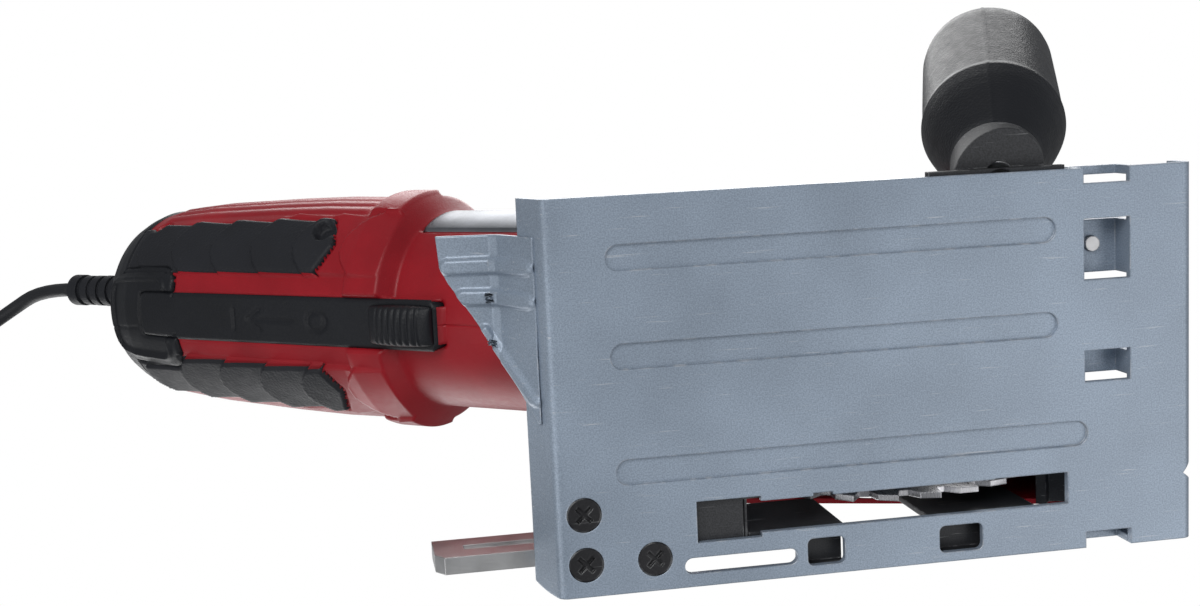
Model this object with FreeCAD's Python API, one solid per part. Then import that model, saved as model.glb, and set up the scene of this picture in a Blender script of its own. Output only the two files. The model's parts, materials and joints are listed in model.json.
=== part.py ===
"""Compact plunge saw: a small in-line circular saw on a pressed steel sole.

Frame: X forward along the cut, Y to the left (the blade side), Z up. The origin
is the centre of the sole's underside. The saw head hinges on a cross pin at the
front of the sole and stands raised, so the blade is clear above the sole.
"""

import FreeCAD, Part
import math
import os

V = FreeCAD.Vector
os.makedirs("parts", exist_ok=True)

# Sole plate
SOLE_X = 86.0
SOLE_Y = 50.5
SOLE_T = 2.0
BEND_R = 3.0
FRONT_FLANGE_H = 10.0
REAR_FLANGE_H = 12.0
REAR_FLARE = 5.0
GUARD_SHEET = 1.6
CORNER_R = 7.0
RIB_W = 6.6
RIB_DEPTH = 0.8
RIBS = ((-71.0, 47.5, -35.1), (-70.8, 47.8, -10.3), (-70.7, 55.9, 19.2))
SOLE_SCREWS = ((-79.3, 29.2), (-79.3, 42.1), (-61.6, 42.2))
GUIDE_X0 = 55.3
GUIDE_X1 = 68.1
GUIDE_H = 6.0
GUIDE_ROOM = 4.6
BRIDGE_T = 1.6
EDGE_BRIDGES = ((-51.5, -46.5, -50.5, -48.2), (46.2, 51.5, 48.6, 50.5))
BRIDGES = ((-37.3, -21.3), (-2.7, 5.7))
CLAMP_X = 61.0
CLAMP_Y = -30.0

# Blade and its slot
BLADE_Y = 33.0
BLADE_R = 44.5
BLADE_T = 1.6
BLADE_X = 12.0
BLADE_Z = 46.5
BLADE_BORE_R = 5.0
TEETH = 24
TOOTH = ((0.0, 0.0), (0.10, 5.0), (0.34, 5.2), (0.55, 1.6))
GEAR_TEETH = 30
PINION_TEETH = 9

# Saw head: its body leans back and up from the blade axis
HEAD_TILT = 40.0
BODY_Y = -7.0
NECK_R = 32.0
SHELL_R = 36.3
SHELL_WALL = 2.8
SHELL_S0 = 50.0
SHELL_S1 = 262.0
CAP_S1 = 285.0
STATOR_R = 27.0
HOUSING_SCREWS = ((150.5, 25.0), (176.0, -24.0), (226.9, 24.0), (255.0, -20.0))
SCREW_SEAT_R = 33.1
SCREW_WELL_R = 3.1
VENT_S0 = 62.0
VENT_PITCH = 6.0
VENT_W = 2.6

LOCK_X = 11.8
LOCK_R = 2.4
LOCK_TRAVEL = 2.2
NOSE_R = 19.3

# Hinge at the front of the sole
PIVOT_X = 70.0
PIVOT_Z = 15.0
PIN_R = 4.0
PIN_FIT = 0.05
PLUNGE = 20.5

# Guard round the blade
GUARD_RI = 48.5
GUARD_RO = 51.0
GUARD_Y0 = 25.2
GUARD_Y1 = 42.5
GUARD_WALL = 2.0
COVER_T = 1.5
GUARD_LOW = 19.0
COVER_LOW = 13.5
PORT_RO = 14.0
PORT_RI = 12.2
PORT_ANGLE = 100.0
PORT_END = 72.0
PORT_STEP = 1.2
PORT_DEPTH = 16.0

# Front knob, leaning forward and outward
KNOB_ROOT = V(37.6, -52.1, 13.9)
KNOB_AXIS = V(0.336, -0.384, 0.861)
KNOB_R = 19.5

# Depth bar at the back of the sole
BAR_Y0 = 42.6
BAR_Y1 = 47.2
BAR_Z0 = 20.0
BAR_Z1 = 37.0
BAR_X0 = -116.0
BAR_X1 = -52.0
HOOD_TOP = 8.6
HOOD_X1 = -36.8

# Walls beside the blade slot: ends along X, and where each ledge starts
FENCES = ((-36.5, -11.0, -23.0), (12.0, 42.0, 12.0))
FENCE_Y = 38.2
FENCE_OUT = 49.6
FENCE_T = 1.5
FENCE_TOP = 30.0
LEDGE_Z = 5.0

# Power cord
CORD_D = 5.2
PLUG_L = 34.0
PLUG_W = 13.0
LEAD_OUT = 22.0
BOOT_Y = -9.5
BOOT_S1 = 322.0
COIL_TURN_R = 30.0
COIL_SECTION_R = 8.5
COIL_H = 15.6
ENTRY_L = 24.0

X_AXIS = V(1, 0, 0)
Y_AXIS = V(0, 1, 0)
Z_AXIS = V(0, 0, 1)
ORIGIN = V(0, 0, 0)


def save(shape, name):
    """Writes one sub-part and prints its volume."""
    solids = shape.Solids
    kept = solids[0] if len(solids) == 1 else Part.makeCompound(solids)
    if not kept.isValid() or not solids:
        raise ValueError("bad solid: " + name)
    kept.exportStep("parts/" + name + ".step")
    print(name, len(solids), round(sum(s.Volume for s in solids)))


def box(x0, x1, y0, y1, z0, z1):
    return Part.makeBox(x1 - x0, y1 - y0, z1 - z0, V(x0, y0, z0))


def rod(base, axis, radius, length):
    return Part.makeCylinder(radius, length, base, axis)


def tube(base, axis, outer, inner, length):
    bore = rod(base - axis * 1.0, axis, inner, length + 2.0)
    return rod(base, axis, outer, length).cut(bore)


def prism(points, depth):
    """A closed outline, given as vectors, pushed along a vector."""
    wire = Part.makePolygon(list(points) + [points[0]])
    return Part.Face(wire).extrude(depth)


def prism_y(points, y0, y1):
    """An outline in X and Z, from y0 to y1."""
    return prism([V(x, y0, z) for x, z in points], V(0, y1 - y0, 0))


def prism_z(points, z0, z1):
    """An outline in X and Y, from z0 to z1."""
    return prism([V(x, y, z0) for x, y in points], V(0, 0, z1 - z0))


def turned(profile, base, axis):
    """A solid of revolution from (distance along the axis, radius) points."""
    side = Z_AXIS if abs(axis.dot(Z_AXIS)) < 0.9 else X_AXIS
    out = side.cross(axis).normalize()
    points = [base + axis * along + out * radius for along, radius in profile]
    wire = Part.makePolygon(points + [points[0]])
    return Part.Face(wire).revolve(base, axis, 360)


def stadium(x0, x1, y, width, z0, z1):
    """A slot-shaped block along X."""
    r = width / 2.0
    ends = rod(V(x0 + r, y, z0), Z_AXIS, r, z1 - z0)
    ends = ends.fuse(rod(V(x1 - r, y, z0), Z_AXIS, r, z1 - z0))
    return ends.fuse(box(x0 + r, x1 - r, y - r, y + r, z0, z1)).removeSplitter()


def rounded_path(points, radii):
    """Edges of an open polyline in the XZ plane, with its inner corners rounded."""
    edges = []
    start = points[0]
    for i in range(1, len(points) - 1):
        a = (points[i - 1] - points[i]).normalize()
        b = (points[i + 1] - points[i]).normalize()
        half = a.getAngle(b) / 2.0
        back = radii[i - 1] / math.tan(half)
        p = points[i] + a * back
        q = points[i] + b * back
        middle = (a + b).normalize()
        top = points[i] + middle * (radii[i - 1] / math.sin(half) - radii[i - 1])
        edges.append(Part.LineSegment(start, p).toShape())
        edges.append(Part.Arc(p, top, q).toShape())
        start = q
    edges.append(Part.LineSegment(start, points[-1]).toShape())
    return edges


def bent_sheet(outline, radii, thickness, y0, y1):
    """A bent sheet from its outer line in X and Z. The sheet lies to the left."""
    outer = [V(x, y0, z) for x, z in outline]
    inner = []
    for i, point in enumerate(outer):
        before = (point - outer[i - 1]).normalize() if i else None
        after = (outer[i + 1] - point).normalize() if i + 1 < len(outer) else None
        normals = [V(-d.z, 0, d.x) for d in (before, after) if d is not None]
        if len(normals) == 1:
            inner.append(point + normals[0] * thickness)
        else:
            share = normals[0] + normals[1]
            inner.append(point + share * (thickness / (1 + normals[0].dot(normals[1]))))
    inside = rounded_path(inner, [r - thickness for r in radii])
    edges = rounded_path(outer, radii)
    edges.append(Part.LineSegment(outer[-1], inner[-1]).toShape())
    edges += inside
    edges.append(Part.LineSegment(inner[0], outer[0]).toShape())
    wire = Part.Wire(Part.__sortEdges__(edges))
    return Part.Face(wire).extrude(V(0, y1 - y0, 0))


def in_head(shape):
    """Turns a shape made about the blade axis into the raised head's place."""
    placed = shape.copy()
    placed.rotate(ORIGIN, Y_AXIS, HEAD_TILT)
    placed.translate(V(BLADE_X, 0, BLADE_Z))
    return placed


def body_rod(s0, s1, radius, y=BODY_Y, z=0.0):
    """A cylinder along the body, from s0 to s1 behind the blade axis."""
    return rod(V(-s1, y, z), X_AXIS, radius, s1 - s0)


def body_tube(s0, s1, outer, inner, y=BODY_Y, z=0.0):
    return tube(V(-s1, y, z), X_AXIS, outer, inner, s1 - s0)


def head_point(s, y, z=0.0):
    """A point of the raised head in the sole's frame."""
    c = math.cos(math.radians(HEAD_TILT))
    n = math.sin(math.radians(HEAD_TILT))
    return V(BLADE_X - s * c + z * n, y, BLADE_Z + s * n + z * c)


# ---------------------------------------------------------------- sole side


def base_plate():
    rear = (-SOLE_X - REAR_FLARE, REAR_FLANGE_H)
    line = [rear, (-SOLE_X, 0.0), (SOLE_X, 0.0), (SOLE_X, FRONT_FLANGE_H)]
    plate = bent_sheet(line, [BEND_R, BEND_R], SOLE_T, -SOLE_Y, SOLE_Y)
    reach = SOLE_X + REAR_FLARE + SOLE_T
    corner = box(-reach - 1, -reach + CORNER_R, SOLE_Y - CORNER_R, SOLE_Y + 1, -1, 20)
    corner = corner.cut(rod(V(-reach + CORNER_R, SOLE_Y - CORNER_R, -2), Z_AXIS, CORNER_R, 30))
    plate = plate.cut(corner)
    for x0, x1, y in RIBS:
        plate = plate.fuse(stadium(x0 - 0.8, x1 + 0.8, y, RIB_W + 1.6, SOLE_T, SOLE_T + RIB_DEPTH))
        plate = plate.cut(stadium(x0, x1, y, RIB_W, -1, RIB_DEPTH))
    for y0, y1 in BRIDGES:
        plate = plate.cut(box(GUIDE_X0, GUIDE_X1, y0, y1, -1, SOLE_T + 0.01))
        top = SOLE_T + GUIDE_H
        strap = box(GUIDE_X0 - BRIDGE_T, GUIDE_X1 + BRIDGE_T, y0 + 1, y1 - 1, SOLE_T, top + BRIDGE_T)
        strap = strap.cut(box(GUIDE_X0, GUIDE_X1, y0 - 1, y1 + 1, 0, top))
        plate = plate.fuse(strap)
    for y0, y1, _, _ in EDGE_BRIDGES:
        plate = plate.cut(box(GUIDE_X0, GUIDE_X1, y0, y1, -1, SOLE_T + 1))
    plate = plate.cut(rod(V(CLAMP_X, CLAMP_Y, 4), Z_AXIS, 2.05, 8))
    plate = plate.cut(box(-50.4, -33.4, 28.3, 39.1, -1, 6))
    plate = plate.cut(box(-33.5, 30.0, 29.6, 37.9, -1, 6))
    plate = plate.cut(box(29.9, 50.2, 29.4, 37.9, -1, 6))
    plate = plate.cut(box(-19.6, -14.3, 28.8, 31.0, -1, 6))
    plate = plate.cut(stadium(-54.0, -24.2, 45.0, 4.2, -1, 6))
    for x0, x1 in ((-21.5, -11.5), (14.3, 26.2)):
        window = box(x0, x1, 40.8, 48.0, -1, 6)
        window = window.makeFillet(1.6, [e for e in window.Edges if abs(e.tangentAt(0).z) > 0.9])
        plate = plate.cut(window)
    notch = [(83.2, 32.3), (87.0, 28.2), (87.0, 35.4), (83.2, 32.5)]
    plate = plate.cut(prism_z(notch, -1, 20))
    for x, y in SOLE_SCREWS:
        plate = plate.cut(rod(V(x, y, -1), Z_AXIS, 2.3, 6))
        plate = plate.cut(Part.makeCone(4.62, 2.3, 2.0, V(x, y, 0), Z_AXIS))
    return plate.removeSplitter()


def guide_straps():
    """Straps that close the guide channel over the notches at both edges of the sole."""
    straps = []
    top = SOLE_T + GUIDE_H
    for y0, y1, s0, s1 in EDGE_BRIDGES:
        strap = box(GUIDE_X0 - BRIDGE_T, GUIDE_X1 + BRIDGE_T, s0, s1, SOLE_T, top + BRIDGE_T)
        straps.append(strap.cut(box(GUIDE_X0, GUIDE_X1, y0 - 1, y1 + 1, 0, top)))
    return Part.makeCompound(straps)


def finger_guard():
    """A pressed shield that stands on the rear flange, in front of the fingers."""
    lean = REAR_FLARE / REAR_FLANGE_H
    foot_z = 4.0
    line = [(-111.0, 24.5), (-96.5, 20.0), (-SOLE_X - SOLE_T - 0.1 - foot_z * lean, foot_z)]
    shield = bent_sheet(line, [5.0], GUARD_SHEET, -41.0, 6.0)
    keep = [(-113, -41), (-113, -31), (-108, -22), (-97, -11), (-86, 6), (-84, 6), (-84, -41)]
    shield = shield.common(prism_z(keep, 0, 40))
    return shield


def plunged_axis():
    """Where the blade axis stands (x, z) with the head fully down."""
    turn = math.radians(PLUNGE)
    dx = BLADE_X - PIVOT_X
    dz = BLADE_Z - PIVOT_Z
    x = PIVOT_X + dx * math.cos(turn) - dz * math.sin(turn)
    return x, PIVOT_Z + dx * math.sin(turn) + dz * math.cos(turn)


def rear_bracket():
    """Cast bracket that carries the depth bar and shields the blade's back edge."""
    foot = box(-84, -56, 26, 49.5, SOLE_T, 8)
    post = box(-80, -57, 40.6, 49.5, 8, 41)
    foot = foot.fuse(post)
    foot = foot.fuse(box(-57, -20.5, 27.6, 29.2, SOLE_T, 4.6))
    x, z = plunged_axis()
    outer = rod(V(x, 27.6, z), Y_AXIS, GUARD_RI - 1.1, 13.1)
    inner = rod(V(x, 28.8, z), Y_AXIS, BLADE_R + 1.3, 10.6)
    hood = outer.cut(inner)
    hood = hood.common(box(-46, HOOD_X1, 20, 45, SOLE_T, HOOD_TOP))
    foot = foot.fuse(hood)
    foot = foot.fuse(box(-57, -37.8, 27.6, 42.4, SOLE_T, SOLE_T + 2.4))
    foot = foot.cut(box(BAR_X0, BAR_X1 + 4, BAR_Y0 - 0.15, BAR_Y1 + 0.15, BAR_Z0 - 0.15, BAR_Z1 + 0.15))
    thin = stadium(-54.0, -24.2, 45.0, 4.2, 0, 9)
    foot = foot.cut(thin)
    for x, y in SOLE_SCREWS:
        foot = foot.cut(rod(V(x, y, 0), Z_AXIS, 2.0, 14.0))
    foot = foot.cut(rod(V(-69, 46.0, 28.5), Y_AXIS, 2.5, 6.0))
    return foot.removeSplitter()


def slot_fences():
    """Two upright walls along the blade slot, with a covering ledge over the small windows."""
    fences = []
    for x0, x1, ledge in FENCES:
        wall = box(x0, x1, FENCE_Y, FENCE_Y + FENCE_T, SOLE_T, FENCE_TOP)
        shelf = box(ledge, x1, FENCE_Y, FENCE_OUT, LEDGE_Z, LEDGE_Z + FENCE_T)
        lip = box(ledge, x1, FENCE_OUT - FENCE_T, FENCE_OUT, SOLE_T, LEDGE_Z + FENCE_T)
        fences.append(wall.fuse(shelf).fuse(lip).removeSplitter())
    return Part.makeCompound(fences)


def countersunk(x, y):
    head = Part.makeCone(4.5, 2.1, 1.9, V(x, y, 0.1), Z_AXIS)
    screw = head.fuse(rod(V(x, y, 1.9), Z_AXIS, 2.0, 11.5))
    for angle in (45, 135):
        arm = box(-2.6, 2.6, -0.55, 0.55, -1, 1.1)
        arm.rotate(ORIGIN, Z_AXIS, angle)
        arm.translate(V(x, y, 0))
        screw = screw.cut(arm)
    return screw


def hinge_bracket():
    ear = [(69.6, 2), (83.0, 2), (83.0, 13), (76, 23.5), (64, 23.5), (61, 15), (63.5, 8.5), (69.6, 7)]
    left = prism_y(ear, 45.6, 48.6)
    right = prism_y(ear, 18.8, 21.8)
    foot = box(69.6, 83.0, 21.8, 27.8, SOLE_T, SOLE_T + 2)
    foot = foot.fuse(box(69.6, 83.0, 36.0, 45.6, SOLE_T, SOLE_T + 2))
    foot = foot.fuse(box(69.6, 80.5, 27.8, 36.0, SOLE_T, SOLE_T + 2))
    bracket = left.fuse(right).fuse(foot)
    bracket = bracket.cut(rod(V(PIVOT_X, 10, PIVOT_Z), Y_AXIS, PIN_R, 50))
    return bracket.removeSplitter()


def hinge_pin():
    pin = rod(V(PIVOT_X, 17.8, PIVOT_Z), Y_AXIS, PIN_R, 32.0)
    head = rod(V(PIVOT_X, 15.8, PIVOT_Z), Y_AXIS, PIN_R + 2.0, 3.0 - PIN_FIT)
    return pin.fuse(head).removeSplitter()


def return_spring():
    """Torsion spring round the hinge pin, with its two legs."""
    radius = 6.4
    wire_r = 0.9
    pitch = 2.1
    turns = 4
    helix = Part.makeHelix(pitch, pitch * turns, radius)
    profile = Part.Wire([Part.makeCircle(wire_r, V(radius, 0, 0), Y_AXIS)])
    coil = Part.Wire(helix).makePipeShell([profile], True, True)
    coil.rotate(ORIGIN, X_AXIS, -90)
    coil.translate(V(PIVOT_X, 35.6, PIVOT_Z))
    return coil


def knob_bracket():
    foot = box(14.0, 51.0, -51.6, -43.5, SOLE_T, 4.5)
    axis = V(KNOB_AXIS).normalize()
    boss = rod(KNOB_ROOT - axis * 16.0, axis, 12.0, 16.0)
    whole = foot.fuse(boss)
    whole = whole.fuse(box(27.0, 48.0, -51.6, -39.6, SOLE_T, 6.0))
    whole = whole.cut(box(0, 90, -90, 0, -30, SOLE_T))
    whole = whole.cut(box(0, 90, -90, -51.6, -30, 6.0))
    whole = whole.cut(box(0, 90, -39.6, 0, -30, 6.0))
    whole = whole.cut(rod(KNOB_ROOT - axis * 20.0, axis, 4.2, 30.0))
    return whole.removeSplitter()


def front_knob():
    axis = V(KNOB_AXIS).normalize()
    profile = [(0, 4.2), (0, 11.6), (3, 12.4), (8, 14.6), (14, 17.0), (19, 18.8), (22, KNOB_R)]
    profile += [(24, KNOB_R), (66, 18.9), (70.5, 17.6), (73.8, 14.4), (75.6, 9.6), (76.2, 4.6), (76.2, 0)]
    profile += [(50, 0), (50, 4.2)]
    return turned(profile, KNOB_ROOT, axis)


def knob_stud():
    axis = V(KNOB_AXIS).normalize()
    stud = rod(KNOB_ROOT - axis * 7.5, axis, 4.2, 56.0)
    return stud


def guide_clamp_screw():
    """Wing screw that presses the parallel guide's arm onto the sole."""
    stem = rod(V(CLAMP_X, CLAMP_Y, SOLE_T + GUIDE_ROOM), Z_AXIS, 2.0, 18.0)
    hub = rod(V(CLAMP_X, CLAMP_Y, 14.0), Z_AXIS, 6.0, 9.0)
    wings = box(-11, 11, -1.5, 1.5, 0, 9)
    wings = wings.makeFillet(1.2, [e for e in wings.Edges if abs(e.tangentAt(0).z) > 0.9])
    wings.translate(V(CLAMP_X, CLAMP_Y, 16.0))
    return stem.fuse(hub).fuse(wings).removeSplitter()


def depth_bar():
    bar = box(BAR_X0, BAR_X1, BAR_Y0, BAR_Y1, BAR_Z0, BAR_Z1)
    bar = bar.cut(box(BAR_X0 + 8, BAR_X1 - 14, BAR_Y0 - 1, BAR_Y0 + 1.2, 26.5, 30.5))
    nose = [(BAR_X0 - 1, BAR_Z0 - 1), (BAR_X0 + 3, BAR_Z0 - 1), (BAR_X0 - 1, BAR_Z0 + 5)]
    bar = bar.cut(prism_y(nose, BAR_Y0 - 1, BAR_Y1 + 1))
    return bar


def depth_clamp():
    """Knurled screw that locks the depth bar from the side."""
    stem = rod(V(-69, BAR_Y1 + 0.2, 28.5), Y_AXIS, 2.45, 4.0)
    grip = rod(V(-69, 50.2, 28.5), Y_AXIS, 7.5, 7.0)
    for i in range(12):
        angle = i * math.pi / 6.0
        flute = rod(V(-69 + 8.3 * math.cos(angle), 49, 28.5 + 8.3 * math.sin(angle)), Y_AXIS, 1.4, 10)
        grip = grip.cut(flute)
    return stem.fuse(grip)


# ---------------------------------------------------------------- saw head


def hinge_in_head():
    """The hinge pin's place (x, z) seen from the blade axis along the body."""
    c = math.cos(math.radians(HEAD_TILT))
    n = math.sin(math.radians(HEAD_TILT))
    dx = PIVOT_X - BLADE_X
    dz = PIVOT_Z - BLADE_Z
    return dx * c - dz * n, dx * n + dz * c


def guard_outline(y0, y1, radius, low_edge):
    """The guard's side shape: a disc, an arm to the hinge, and a flat lower edge."""
    hx, hz = hinge_in_head()
    disc = rod(V(0, y0, 0), Y_AXIS, radius, y1 - y0)
    arm = [(20, 44), (38, 35), (hx + 4, hz + 8), (hx + 8, hz + 2), (hx + 5, hz - 6), (38, -4), (0, 0)]
    shape = disc.fuse(prism_y(arm, y0, y1))
    tilt = math.radians(HEAD_TILT - PLUNGE)
    low = V(-math.sin(tilt), 0, math.cos(tilt))
    along = V(math.cos(tilt), 0, math.sin(tilt))
    base = low * -low_edge
    corners = [base - along * 120, base + along * 120]
    corners += [base + along * 120 - low * 90, base - along * 120 - low * 90]
    below = prism([V(p.x, y0 - 5, p.z) for p in corners], V(0, y1 - y0 + 10, 0))
    return shape.cut(below)


def port_direction():
    angle = math.radians(PORT_ANGLE)
    return V(math.cos(angle), 0, math.sin(angle))


def blade_guard():
    """Inner side wall and rim of the guard, with the boss for the hinge."""
    hx, hz = hinge_in_head()
    shell = guard_outline(GUARD_Y0, GUARD_Y1 - COVER_T, GUARD_RO, GUARD_LOW)
    hollow = rod(V(0, GUARD_Y0 + GUARD_WALL, 0), Y_AXIS, GUARD_RI, 40)
    shell = shell.cut(hollow)
    arm = [(20, 40), (38, 32), (48, 24), (46, 2), (30, -6), (0, 0)]
    shell = shell.cut(prism_y(arm, GUARD_Y0 + GUARD_WALL, GUARD_Y1 + 5))
    lug = rod(V(hx, GUARD_Y0, hz), Y_AXIS, 7.6, 9.3)
    clear = rod(V(hx, 34.5, hz), Y_AXIS, 8.4, 20)
    shell = shell.cut(clear).fuse(lug)
    shell = shell.cut(rod(V(hx, 0, hz), Y_AXIS, PIN_R + PIN_FIT, 80))
    shell = shell.cut(rod(V(0, 0, 0), Y_AXIS, 16.0, 30))
    middle = V(0, (GUARD_Y0 + GUARD_WALL + GUARD_Y1 - COVER_T) / 2.0, 0)
    way = rod(middle + port_direction() * 40, port_direction(), PORT_RI - PORT_STEP, 20)
    slot = box(-80, 80, GUARD_Y0 + GUARD_WALL, GUARD_Y1 - COVER_T - 1, -80, 80)
    return shell.cut(way.common(slot)).removeSplitter()


def guard_cover():
    """Outer side wall of the guard."""
    hx, hz = hinge_in_head()
    cover = guard_outline(GUARD_Y1 - COVER_T, GUARD_Y1, GUARD_RO, COVER_LOW)
    cover = cover.cut(rod(V(hx, 0, hz), Y_AXIS, 8.6, 80))
    cover = cover.cut(rod(V(0, 0, 0), Y_AXIS, 13.0, 80))
    for x, z in guard_screw_places():
        cover = cover.cut(rod(V(x, 30, z), Y_AXIS, 1.6, 20))
    return cover


def guard_screw_places():
    radius = (GUARD_RI + GUARD_RO) / 2.0 - 0.05
    return [(radius * math.cos(math.radians(a)), radius * math.sin(math.radians(a))) for a in (62, 128, 172)]


def dust_port():
    middle = (GUARD_Y0 + GUARD_Y1) / 2.0
    direction = port_direction()
    port = rod(V(0, middle, 0) + direction * 42, direction, PORT_RO, PORT_END - 42)
    port = port.cut(rod(V(0, middle, 0) + direction * 30, direction, PORT_RI - PORT_STEP, 80))
    port = port.cut(rod(V(0, middle, 0) + direction * (PORT_END - PORT_DEPTH), direction, PORT_RI, 80))
    port = port.cut(rod(V(0, 0, 0), Y_AXIS, GUARD_RO, 80))
    collar = tube(V(0, middle, 0) + direction * (PORT_END - 3), direction, PORT_RO + 1, PORT_RI, 3)
    port = port.fuse(collar)
    return port.removeSplitter()


def gear_housing():
    """Cast head round the crown gear and pinion, with a seat for each bearing."""
    head = rod(V(0, -36, 0), Y_AXIS, NOSE_R, GUARD_Y0 + 36)
    head = head.fuse(Part.makeCone(30.5, 18.8, 26.0, V(-34.0, BODY_Y, 0), X_AXIS))
    head = head.fuse(body_rod(34.0, SHELL_S0, 30.5))
    head = head.cut(rod(V(0, -31, 0), Y_AXIS, 16.5, 43.0))
    head = head.cut(body_rod(0, 36.0, 13.0))
    head = head.cut(body_rod(0, SHELL_S0 + 1, 8.0))
    head = head.cut(body_rod(SHELL_S0 - 10.0, SHELL_S0 + 1, 11.0))
    head = head.cut(rod(V(0, 0, 0), Y_AXIS, 7.0, 40))
    head = head.cut(rod(V(0, 15.5, 0), Y_AXIS, 13.0, 10))
    head = head.cut(rod(V(0, -40, 0), Y_AXIS, 16.5, 10))
    return head.removeSplitter()


def gear_cover():
    """Round cap that closes the head opposite the blade."""
    cap = rod(V(0, -39.0, 0), Y_AXIS, NOSE_R - 0.5, 3.0)
    cap = cap.fuse(rod(V(0, -36.0, 0), Y_AXIS, 16.4, 5.0))
    cap = cap.cut(rod(V(0, -35.0, 0), Y_AXIS, 7.5, 10))
    cap = cap.cut(rod(V(LOCK_X, -45.0, 0), Y_AXIS, LOCK_R + 0.08, 30))
    return cap.removeSplitter()


def gear_cover_screws():
    screws = []
    for angle in (45, 135, 225, 315):
        x = 14.0 * math.cos(math.radians(angle))
        z = 14.0 * math.sin(math.radians(angle))
        head = rod(V(x, -41.0, z), Y_AXIS, 2.2, 2.0)
        slot = box(-3, 3, -41.5, -40.2, -0.4, 0.4)
        slot.translate(V(x, 0, z))
        screws.append(head.cut(slot))
    return Part.makeCompound(screws)


def ball_bearing(base, axis, outer, inner, width):
    """Inner and outer rings with a shield between them, as one closed unit."""
    whole = tube(base, axis, outer, inner, width)
    groove = tube(base - axis, axis, outer - 1.6, inner + 1.6, 1.4)
    return whole.cut(groove)


def spindle():
    shaft = rod(V(0, -34.0, 0), Y_AXIS, 4.0, 9.0)
    shaft = shaft.fuse(rod(V(0, -25.0, 0), Y_AXIS, 5.0, 25.0 + BLADE_Y + BLADE_T / 2.0))
    return shaft.cut(rod(V(0, 22.0, 0), Y_AXIS, 3.0, 30)).removeSplitter()


def spindle_bearings():
    near = ball_bearing(V(0, 15.5, 0), Y_AXIS, 13.0, 5.05, 8.0)
    far = ball_bearing(V(0, -35.0, 0), Y_AXIS, 7.5, 4.05, 4.0)
    return Part.makeCompound([near, far])


def armature_bearings():
    front = ball_bearing(V(-49.0, BODY_Y, 0), X_AXIS, 11.0, 3.55, 8.0)
    rear = ball_bearing(V(-192.5, BODY_Y, 0), X_AXIS, 9.5, 3.55, 7.0)
    return Part.makeCompound([front, rear])


def bevel_gear():
    """Crown gear on the spindle, facing the pinion."""
    wheel = Part.makeCone(12.5, 15.5, 4.5, V(0, -16.6, 0), V(0, 1, 0))
    wheel = wheel.fuse(rod(V(0, -21.0, 0), Y_AXIS, 8.0, 5.0))
    for i in range(GEAR_TEETH):
        cut = box(-0.55, 0.55, -13.3, -11.0, 9.0, 24.0)
        cut.rotate(ORIGIN, Y_AXIS, i * 360.0 / GEAR_TEETH)
        wheel = wheel.cut(cut)
    return wheel.cut(rod(V(0, -40, 0), Y_AXIS, 5.0, 80))


def pinion():
    body = Part.makeCone(4.8, 4.2, 6.5, V(-15.8, BODY_Y, 0), X_AXIS)
    for i in range(PINION_TEETH):
        cut = box(-22, -8, BODY_Y - 0.5, BODY_Y + 0.5, 3.2, 8)
        cut.rotate(V(0, BODY_Y, 0), X_AXIS, (i + 0.5) * 360.0 / PINION_TEETH)
        body = body.cut(cut)
    return body.cut(body_rod(0, 40, 2.5))


def saw_blade():
    """Toothed disc: straight gullets behind each tip."""
    points = []
    for i in range(TEETH):
        start = 2.0 * math.pi * i / TEETH
        step = 2.0 * math.pi / TEETH
        for share, drop in TOOTH:
            angle = start + share * step
            radius = BLADE_R - drop
            points.append(V(radius * math.cos(angle), BLADE_Y - BLADE_T / 2.0, radius * math.sin(angle)))
    disc = prism(points, V(0, BLADE_T, 0))
    return disc.cut(rod(V(0, 0, 0), Y_AXIS, BLADE_BORE_R, 80))


def inner_flange():
    y1 = BLADE_Y - BLADE_T / 2.0
    flange = rod(V(0, y1 - 3.0, 0), Y_AXIS, 11.5, 3.0)
    flange = flange.fuse(rod(V(0, y1 - 5.0, 0), Y_AXIS, 7.5, 2.0))
    return flange.cut(rod(V(0, 0, 0), Y_AXIS, 5.0, 80))


def outer_flange():
    y0 = BLADE_Y + BLADE_T / 2.0
    flange = rod(V(0, y0, 0), Y_AXIS, 11.5, 2.5)
    return flange.cut(rod(V(0, 0, 0), Y_AXIS, 3.0, 80))


def blade_bolt():
    y0 = BLADE_Y + BLADE_T / 2.0 + 2.5
    bolt = rod(V(0, y0 - 2.5, 0), Y_AXIS, 3.0, 3.0)
    head = rod(V(0, y0, 0), Y_AXIS, 6.0, 4.0)
    corners = [math.radians(60 * i) for i in range(6)]
    socket = prism([V(2.9 * math.cos(a), y0 + 1.2, 2.9 * math.sin(a)) for a in corners], V(0, 5, 0))
    return bolt.fuse(head).cut(socket)


def lock_button():
    """Spindle lock: a button whose pin drops into the crown gear's back."""
    cap = rod(V(LOCK_X, -45.6, 0), Y_AXIS, 4.6, 3.6)
    stem = rod(V(LOCK_X, -43.0, 0), Y_AXIS, LOCK_R, 18.0)
    return cap.fuse(stem).removeSplitter()


def lock_spring():
    """Small coil spring under the lock button, drawn as a closed sleeve."""
    base = V(LOCK_X, -42.0 + LOCK_TRAVEL + 0.2, 0)
    return tube(base, Y_AXIS, 3.9, LOCK_R + 0.4, 0.6)


def shell_profile(offset):
    """Half outline of the motor housing as (distance behind the blade axis, radius)."""
    points = [(SHELL_S0, NECK_R), (144.0, NECK_R), (147.0, 36.8), (158.0, 37.2)]
    points += [(164.0, SHELL_R), (205.0, SHELL_R - 0.4), (240.0, 34.8), (256.0, 33.4)]
    points += [(SHELL_S1, 31.8)]
    return [(s, r - offset) for s, r in points]


def body_turned(profile, turn=360):
    points = [V(-s, BODY_Y, r) for s, r in profile]
    wire = Part.makePolygon(points + [points[0]])
    return Part.Face(wire).revolve(V(0, BODY_Y, 0), X_AXIS, turn)


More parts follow.
